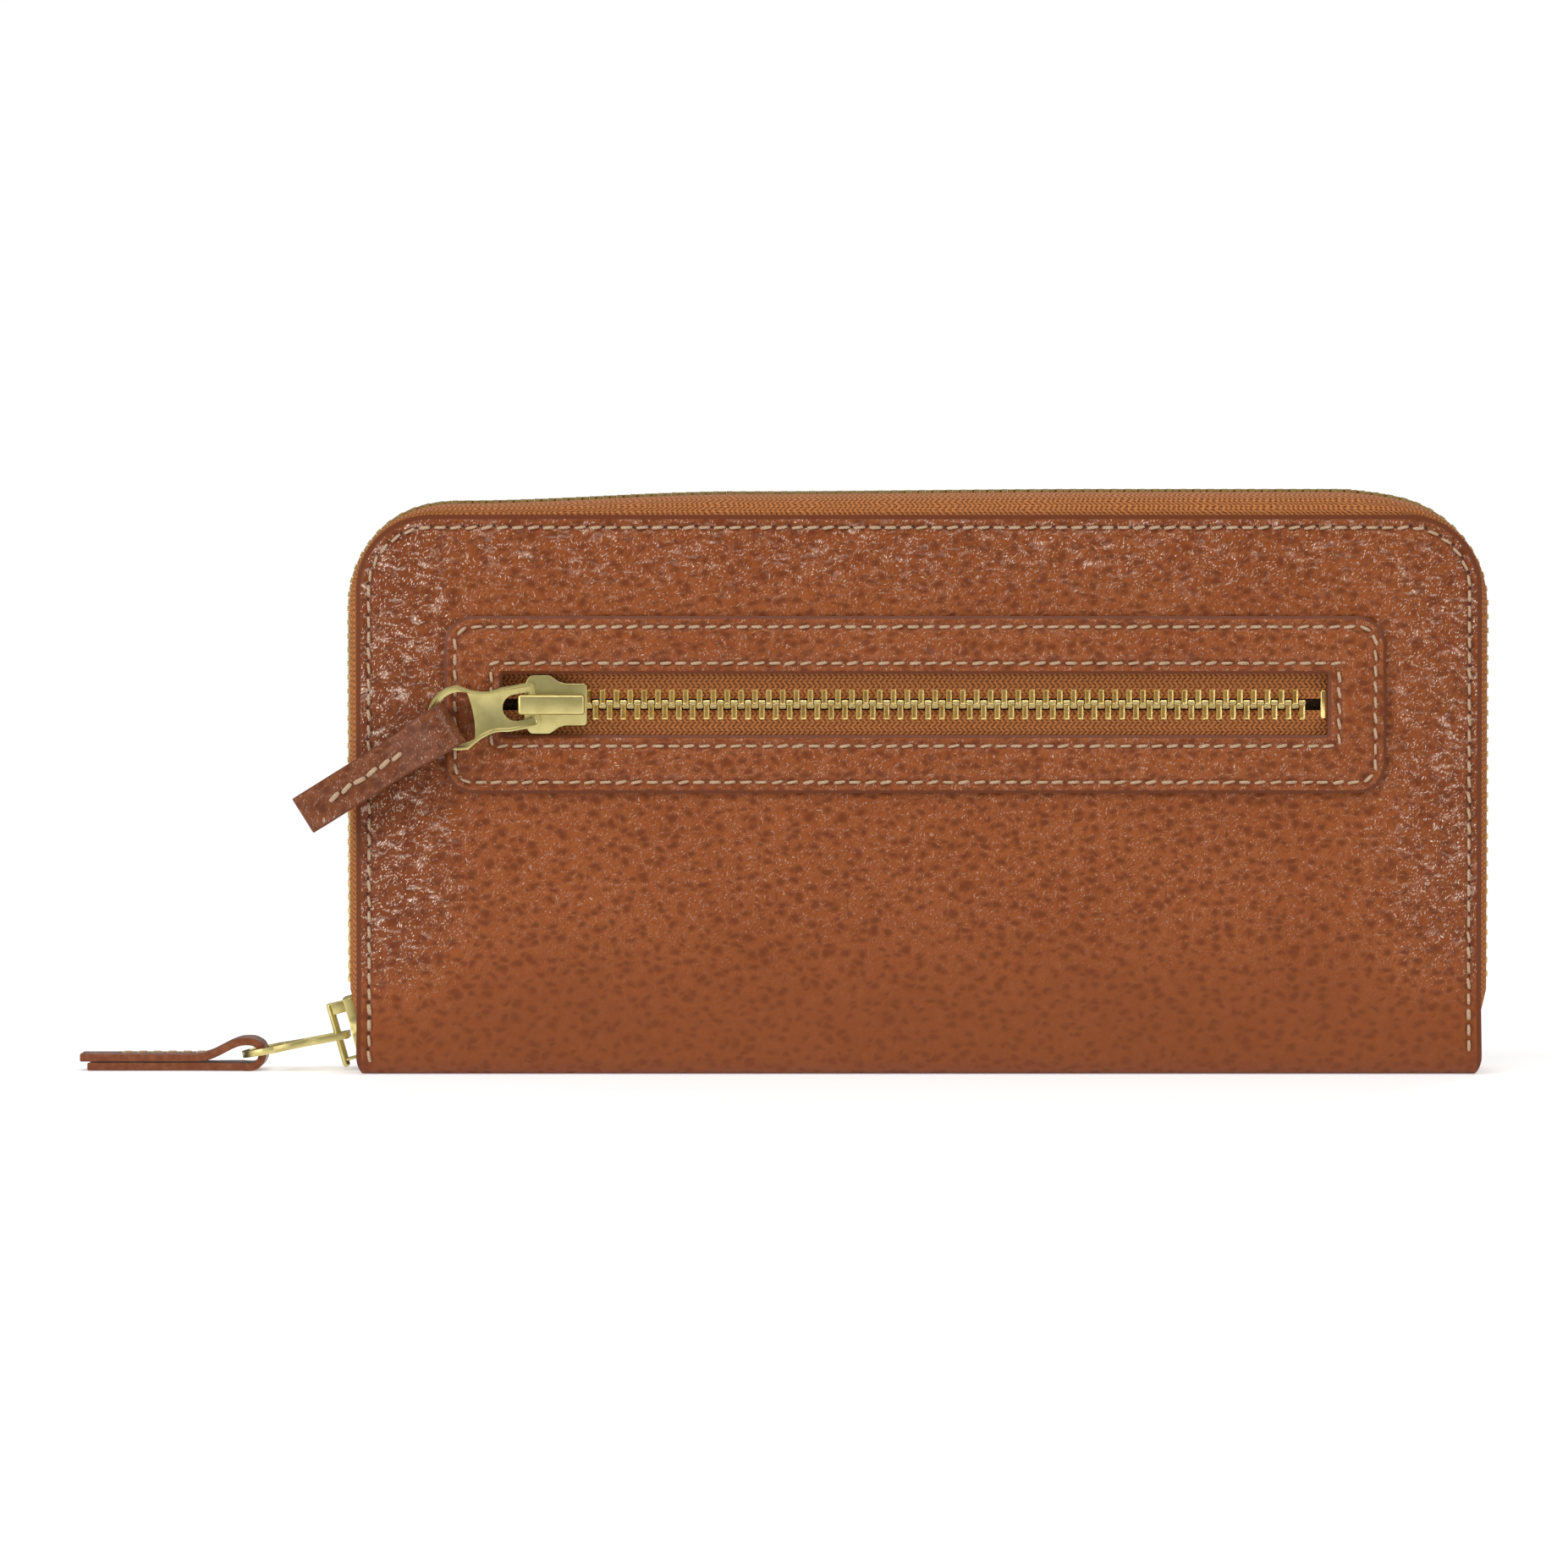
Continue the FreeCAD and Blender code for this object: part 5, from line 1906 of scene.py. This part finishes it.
@dataclass
class Strap:
    """Leather strip folded round the ring and sewn to itself; hole centre at the origin."""

    length: float
    width: float = 7.0
    thick: float = 3.1
    loop: float = 3.0
    wall: float = 1.35
    overhang: float = 1.3
    neck: float = 9.0
    hide_z: float = 300.0
    stitches: int = 6
    stitch_pitch: float = 2.6

    def line(self) -> list[Point]:
        """Outer face of the folded strip as X and Y pairs, from its upper free end to its lower."""
        upper = self.loop - self.thick
        points = [(-self.length + k * (self.length - self.neck) / 14, upper) for k in range(15)]
        for number in range(1, 11):
            share = number / 10
            x = -self.neck + 8.2 * share
            points.append((x, upper + (-self.loop - upper) * ease(share, 0.0, 1.0)))
        for number in range(1, 17):
            angle = -math.pi / 2 - 0.24 + (math.pi + 0.24) * number / 16
            points.append((self.loop * math.cos(angle), self.loop * math.sin(angle)))
        end = -self.length + self.overhang
        points += [(end * k / 16, self.loop) for k in range(1, 17)]
        return points

    def build(self, name: str, finishes: Finishes) -> bpy.types.Object:
        """Model the folded strip.

        Args:
            name: Name of the piece.
            finishes: The wallet's materials.

        Returns:
            The piece, in the strap's frame.
        """
        line = self.line()
        run = [0.0]
        for (a, b), (c, d) in zip(line, line[1:]):
            run.append(run[-1] + math.hypot(c - a, d - b))
        half = self.width / 2
        rows = [-1.0, -0.94, -0.8, -0.5, 0.0, 0.5, 0.8, 0.94, 1.0]

        def place(number: float, across: float) -> Sequence[float]:
            """Place on the strip's outer face."""
            x, y = line[int(number)]
            near_loop = ease(x, -self.neck, -1.0)
            z = across * (half + 0.5 * near_loop)
            seam = 0.16 * math.exp(-((across * half / 0.9) ** 2)) * ease(-x, 6.5, 8.0)
            edge = 0.14 * ease(abs(across), 0.7, 1.0)
            inward = seam + edge
            if number < len(line) / 2:
                return x, y + inward, z
            return x, y - (edge if x < -1 else 0.0), z

        # Marks: distance from the cut edge, and a low level of painted glint and sheen.
        piece = sheet(name, [float(k) for k in range(len(line))], rows, place,
                      lambda number, across: (run[int(number)], across * half + self.hide_z),
                      {"edge": lambda number, across: min(1.9, (1 - abs(across)) * half + 0.55),
                       "polish": lambda number, across: 0.12})
        dress(piece, [finishes.strap, finishes.paint])
        thicken(piece, self.wall)
        soften(piece, 0.22, 2)
        return piece

    def seam(self, name: str, pattern: bpy.types.Object) -> bpy.types.Object:
        """Sew the strip to itself.

        Args:
            name: Name of the piece.
            pattern: Modelled stitch.

        Returns:
            The row of stitches, in the strap's frame.
        """
        chance = random.Random(5)
        places = []
        face = self.loop - self.thick + 0.14
        for number in range(self.stitches):
            x = -self.loop - 5.6 - number * self.stitch_pitch
            angle = math.radians(chance.uniform(-6, 16))
            ahead = Vector((math.cos(angle), 0, math.sin(angle)))
            out = Vector((0, -1, 0))
            side = out.cross(ahead) * 1.5
            places.append(seat(ahead * 1.15, side, out, (x, face, chance.uniform(-0.15, 0.15))))
        return row_of(name, pattern, places)


@dataclass
class Pulls:
    """The sliders, tabs and straps of the main and the pocket zip, and the coin zip's slider."""

    slider: Slider
    coin_slider: Slider
    tab: PullTab
    main_strap: Strap
    pocket_strap: Strap
    main_tilt: float = 16.0
    strap_lift: float = 0.35

    def joint(self, name: str) -> tuple[Vector, Vector]:
        """Place in millimetres and axis of a joint.

        Args:
            name: Name of the joint.

        Returns:
            The place and the axis.
        """
        found = next(joint for joint in frame["joints"] if joint["name"] == name)
        return Vector(found["pos_m"]) / MM, Vector(found["axis"]).normalized()

    def tab_seat(self, word: str) -> Matrix:
        """Where a tab hangs, from its own joint and its strap's.

        Args:
            word: main or pocket.

        Returns:
            The matrix.
        """
        pivot, axis = self.joint(f"{word}_tab_swing")
        loop, _ = self.joint(f"{word}_strap_swing")
        back = pivot - loop
        ahead = (back - axis * back.dot(axis)).normalized()
        return seat(ahead, axis.cross(ahead), axis, pivot)

    def strap_seat(self, word: str) -> Matrix:
        """Where a strap hangs.

        Args:
            word: main or pocket.

        Returns:
            The matrix.
        """
        loop, axis = self.joint(f"{word}_strap_swing")
        if word == "pocket":
            return seat(Vector((0, 1, 0)).cross(axis), (0, 1, 0), axis,
                        loop - Vector((0, self.strap_lift, 0)))
        inward = Vector((0, 0, -1))
        return seat(inward.cross(axis), inward, axis, loop)

    def slider_seat(self, word: str) -> Matrix:
        """Where a slider sits.

        Args:
            word: main, pocket or coin.

        Returns:
            The matrix.
        """
        low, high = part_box(f"{word}_slider_body")
        middle = (low + high) / 2 / MM
        if word == "pocket":
            return seat((1, 0, 0), (0, 1, 0), (0, 0, 1), middle)
        if word == "coin":
            return seat((1, 0, 0), (0, 0, -1), (0, 1, 0), middle)
        tilt = math.radians(self.main_tilt)
        ahead = (-math.sin(tilt), 0, math.cos(tilt))
        return seat(ahead, (math.cos(tilt), 0, math.sin(tilt)), (0, 1, 0), middle)

    def build(self, finishes: Finishes, pattern: bpy.types.Object) -> None:
        """Build and dress the pulls.

        Args:
            finishes: The wallet's materials.
            pattern: Modelled stitch.
        """
        sliders = {
            "main": self.slider,
            "pocket": self.slider,
            "coin": self.coin_slider,
        }
        for word, slider in sliders.items():
            place = self.slider_seat(word)
            for part, piece in (("body", slider.body(f"{word}_slider_plates")),
                                ("crown", slider.crown(f"{word}_slider_bridge"))):
                piece.data.transform(place)
                dress(piece, [finishes.brass])
                settle(piece, f"{word}_slider", f"{word}_slider_{part}")
        for word, strap in (("main", self.main_strap), ("pocket", self.pocket_strap)):
            tab = self.tab.build(f"{word}_brass_tab")
            tab.data.transform(self.tab_seat(word))
            dress(tab, [finishes.brass])
            settle(tab, f"{word}_tab", f"{word}_pull_tab")
            strip = strap.build(f"{word}_leather_pull", finishes)
            strip.data.transform(self.strap_seat(word))
            settle(strip, f"{word}_puller", f"{word}_strap")
            seam = strap.seam(f"{word}_pull_seam", pattern)
            seam.data.transform(self.strap_seat(word))
            settle(seam, f"{word}_puller", f"{word}_strap_thread")
        dress(frame["nodes"]["coin_pull_tab"], [finishes.brass])


# ---------------------------------------------------------------- inside


@dataclass
class Inside:
    """Linings, card slots, gussets and the coin pocket."""

    lining_face: float = 7.9
    slot_count: int = 4
    slot_thick: float = 0.3
    slot_half: float = 90.0
    slot_lowest: float = 38.0
    slot_step: float = 10.5
    cloth: float = 0.4
    coin_half: float = 88.0
    coin_inside: float = 4.2
    coin_height: float = 62.0
    coin_tape_top: float = 70.2
    spine_top: float = 1.9
    lining_half: float = 90.5
    lining_low: float = 3.2
    lining_high: float = 90.0
    fold: float = 16.0

    def panel(self, name: str, half: float, low: float, high: float, y: float, wall: float,
              bow: float, finishes: Sequence[bpy.types.Material], slot: str,
              way: int) -> bpy.types.Object:
        """Upright soft sheet with a slightly bowed upper edge.

        Args:
            name: Name of the piece.
            half: Half width.
            low: Lower edge.
            high: Upper edge.
            y: Depth of the face that looks towards way.
            wall: Thickness.
            bow: How far the upper edge leans towards way.
            finishes: Materials of the face and the rim.
            slot: Material slot of the record; not used.
            way: 1 when the face looks towards +Y, -1 when towards -Y.

        Returns:
            The piece.
        """
        def place(x: float, z: float) -> Sequence[float]:
            """Place on the sheet."""
            rise = ease(z, low, high)
            lean = bow * rise * math.cos(x / half * math.pi / 2)
            dip = 0.5 * rise * math.cos(x / half * math.pi / 2) ** 2
            return -x * way, y + way * lean, z - dip * (bow > 0)

        # Marks: distance from the upper edge, and no painted glint or sheen.
        piece = sheet(name, spread([-half, half], 6.0), spread([low, high - 1.2, high], 5.0), place,
                      lambda x, z: (x, z),
                      {"edge": lambda x, z: high - z + 0.3, "polish": lambda x, z: 0.0})
        dress(piece, finishes)
        thicken(piece, wall, min(1, len(finishes) - 1))
        shade(piece)
        return piece

    def build(self, finishes: Finishes) -> None:
        """Build and dress the inside.

        Args:
            finishes: The wallet's materials.
        """
        for side in Side:
            self.cover_side(side, finishes)
            self.gussets(side, finishes)
        self.coin_pocket(finishes)
        nodes = frame["nodes"]
        dress(nodes["spine_lining"], [finishes.bag])
        for side in Side:
            dress(nodes[f"{side.word}_cover_board"], [finishes.board])

    def cover_side(self, side: Side, finishes: Finishes) -> None:
        """Lining and card slots of one cover.

        Args:
            side: Which cover.
            finishes: The wallet's materials.
        """
        sign = side.value
        word = side.word
        lining = self.panel(f"{word}_lining_cloth", self.lining_half, self.lining_low,
                            self.lining_high, sign * self.lining_face, self.cloth, 0.0,
                            [finishes.lining], "lining_cloth", -sign)
        settle(lining, f"{word}_cover", f"{word}_lining")
        for number in range(self.slot_count):
            depth = self.lining_face - (self.slot_count - number) * self.slot_thick
            top = self.slot_lowest + number * self.slot_step
            slot = self.panel(f"{word}_slot_panel_{number + 1}", self.slot_half,
                              self.spine_top + 4.0, top, sign * depth, self.slot_thick * 0.85, 0.14,
                              [finishes.cover, finishes.paint], "slot_leather", -sign)
            settle(slot, f"{word}_cover", f"{word}_card_slot_{number + 1}")

    def gussets(self, side: Side, finishes: Finishes) -> None:
        """Folded gussets between the card slots and the coin pocket.

        Args:
            side: Which cover.
            finishes: The wallet's materials.
        """
        sign = side.value
        outer = self.lining_face - self.slot_count * self.slot_thick - 0.05
        inner = self.coin_inside / 2 + self.cloth + 0.05
        middle = (outer + inner) / 2
        low = self.spine_top + 3.0
        high = low + self.coin_height - 10.0
        for end, way in (("left", -1), ("right", 1)):
            start = self.slot_half - 0.3
            tip = start - self.fold

            def place(share: float, z: float) -> Sequence[float]:
                """Place on the fold."""
                depth = through([(0, outer - 0.1), (0.5, middle), (1, inner + 0.1)], share)
                crease = 1 - abs(2 * share - 1) ** 0.85
                sway = 0.8 * math.sin((z - low) * 0.09)
                return way * (start + (tip - start) * crease + sway * crease), sign * depth, z

            piece = sheet(f"{side.word}_{end}_bellows", spread([0, 0.5, 1], 0.05),
                          spread([low, high], 4.0), place, lambda share, z: (share * 34, z))
            dress(piece, [finishes.lining])
            thicken(piece, 0.3, 0)
            shade(piece, 60.0)
            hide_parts(f"{side.word}_{end}_gusset")
            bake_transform(piece)
            log.info("%s: %d faces", piece.name, len(piece.data.polygons))

    def coin_pocket(self, finishes: Finishes) -> None:
        """Walls, ends, tapes and teeth of the middle pocket.

        Args:
            finishes: The wallet's materials.
        """
        inside = self.coin_inside / 2
        for side in Side:
            sign = side.value
            wall = self.panel(f"coin_wall_{side.word}", self.coin_half, self.spine_top,
                              self.coin_height, sign * (inside + self.cloth), self.cloth, 0.0,
                              [finishes.lining], "lining_cloth", sign)
            settle(wall, "core", f"coin_pocket_{side.word}")
            self.coin_tape(side, finishes)
        nodes = frame["nodes"]
        dress(nodes["coin_pocket_gusset"], [finishes.bag])
        for name in ("coin_zip_teeth_front", "coin_zip_teeth_back", "coin_zip_stop"):
            dress(nodes[name], [finishes.teeth])

    def coin_tape(self, side: Side, finishes: Finishes) -> None:
        """Flared tape of the coin zip.

        Args:
            side: Which of its two tapes.
            finishes: The wallet's materials.
        """
        sign = side.value
        wall = self.coin_inside / 2 + self.cloth
        top = self.coin_tape_top
        line = [(wall + 0.4, self.coin_height - 4), (wall + 0.4, self.coin_height - 1.5),
                (wall + 0.7, self.coin_height), (wall + 1.4, 64.5), (wall + 2.1, 67.5),
                (wall + 2.4, 69.0), (wall + 2.2, 69.9), (wall + 1.4, top), (3.0, top), (2.0, top)]

        def place(x: float, row: float) -> Sequence[float]:
            """Place on the tape's outer face."""
            y, z = line[int(row)]
            return -x * sign, sign * (y + 0.12 * math.sin(x * 0.13) * ease(z, 60, 68)), z

        piece = sheet(f"coin_tape_{side.word}", spread([-self.coin_half, self.coin_half], 4.0),
                      [float(k) for k in range(len(line))], place, lambda x, row: (x, row * 1.6))
        dress(piece, [finishes.tape])
        facing_out(piece, WALLET_MIDDLE)
        thicken(piece, 0.35, 0)
        shade(piece, 60.0)
        settle(piece, "core", f"coin_zip_tape_{side.word}")


# ---------------------------------------------------------------- studio


@dataclass
class Studio:
    """Camera, soft lights and pale floor."""

    view_x: float = -23.5
    view_z: float = 50.7
    view_width: float = 272.5
    front: float = 14.0
    elevation: float = 1.5
    lens: float = 150.0
    sensor: float = 36.0
    soft_world: float = 0.24
    floor_glow: float = 0.32

    def camera(self) -> None:
        """Stand the camera square to the front."""
        distance = self.view_width / self.sensor * self.lens
        tilt = math.radians(self.elevation)
        data = bpy.data.cameras.new("camera")
        data.lens = self.lens
        data.sensor_width = self.sensor
        data.clip_start = 0.05
        data.clip_end = 50.0
        camera = bpy.data.objects.new("camera", data)
        spot = (self.view_x, -self.front - distance * math.cos(tilt),
                self.view_z + distance * math.sin(tilt))
        camera.location = Vector(spot) * MM
        camera.rotation_euler = (math.pi / 2 - tilt, 0, 0)
        bpy.context.scene.collection.objects.link(camera)
        bpy.context.scene.camera = camera

    def light(self, name: str, spot: Sequence[float], size: Point, power: float) -> None:
        """Hang one soft light that looks at the wallet.

        Args:
            name: Name of the light.
            spot: Place in metres.
            size: Width and height in metres.
            power: Power in watts.
        """
        data = bpy.data.lights.new(name, "AREA")
        data.shape = "RECTANGLE"
        data.size, data.size_y = size
        data.energy = power
        lamp = bpy.data.objects.new(name, data)
        lamp.location = spot
        aim = Vector((-0.01, 0, 0.05)) - Vector(spot)
        lamp.rotation_euler = aim.to_track_quat("-Z", "Y").to_euler()
        bpy.context.scene.collection.objects.link(lamp)

    def world(self) -> None:
        """White surroundings that light the wallet only softly."""
        world = bpy.data.worlds.new("studio")
        world.use_nodes = True
        tree = world.node_tree
        tree.nodes.clear()
        seen = tree.nodes.new("ShaderNodeBackground")
        seen.inputs["Strength"].default_value = 1.0
        seen.inputs["Color"].default_value = (1, 1, 1, 1)
        soft = tree.nodes.new("ShaderNodeBackground")
        soft.inputs["Strength"].default_value = self.soft_world
        soft.inputs["Color"].default_value = (1, 1, 1, 1)
        path = tree.nodes.new("ShaderNodeLightPath")
        mix = tree.nodes.new("ShaderNodeMixShader")
        out = tree.nodes.new("ShaderNodeOutputWorld")
        tree.links.new(path.outputs["Is Camera Ray"], mix.inputs[0])
        tree.links.new(soft.outputs[0], mix.inputs[1])
        tree.links.new(seen.outputs[0], mix.inputs[2])
        tree.links.new(mix.outputs[0], out.inputs["Surface"])
        bpy.context.scene.world = world

    def floor(self) -> None:
        """Lay the pale floor."""
        put_down()
        bpy.ops.mesh.primitive_plane_add(size=1.6, location=(0, 0, 0))
        floor = bpy.context.object
        floor.name = "studio_floor"
        recipe = Recipe("pale_floor")
        cloud = recipe.noise(recipe.ground(Ground.SPACE), 300.0, 1.0)
        colour = recipe.blend(cloud, (0.92, 0.92, 0.92), (0.95, 0.95, 0.95))
        pale = recipe.finish(Base_Color=colour, Roughness=0.9, Emission_Color=colour,
                             Emission_Strength=self.floor_glow)
        floor.data.materials.append(pale)

    def build(self) -> None:
        """Set the studio up."""
        self.camera()
        self.world()
        self.floor()
        self.light("left_window", (-1.0, -0.62, 0.42), (0.45, 0.8), 6.6)
        self.light("right_window", (0.95, -0.75, 0.5), (0.4, 0.8), 3.6)
        self.light("top_window", (-0.05, -0.60, 1.15), (1.1, 0.5), 7.0)
        self.light("back_window", (0.1, 0.9, 0.9), (0.9, 0.5), 6.0)
        bpy.context.scene.view_settings.view_transform = "Standard"


def main() -> None:
    """Build the wallet piece by piece."""
    logging.basicConfig(level=logging.INFO, format="%(message)s")
    finishes = Finishes()
    Studio().build()
    stitch = Stitch()
    stitch_pattern = stitch.pattern(finishes)
    tooth_pattern = Tooth().pattern(finishes)
    patch = Patch()
    window = (patch.centre_x - patch.window_width / 2, patch.centre_x + patch.window_width / 2,
              patch.centre_z - patch.window_height / 2, patch.centre_z + patch.window_height / 2)
    for side in Side:
        cover = Cover(side, window=window if side is Side.FRONT else None)
        cover.build(finishes, stitch, stitch_pattern)
        MainZip(side).build(finishes, tooth_pattern)
    patch.build(finishes, stitch, stitch_pattern)
    PocketZip().build(finishes, tooth_pattern)
    coin_slider = Slider(length=9.0, mouth=7.2, heel=5.8, thick=1.7)
    pulls = Pulls(Slider(), coin_slider, PullTab(), Strap(length=29.8), Strap(length=28.0))
    pulls.build(finishes, stitch_pattern)
    Inside().build(finishes)
    for pattern in (stitch_pattern, tooth_pattern):
        bpy.data.objects.remove(pattern)


if __name__ == "__main__":
    main()
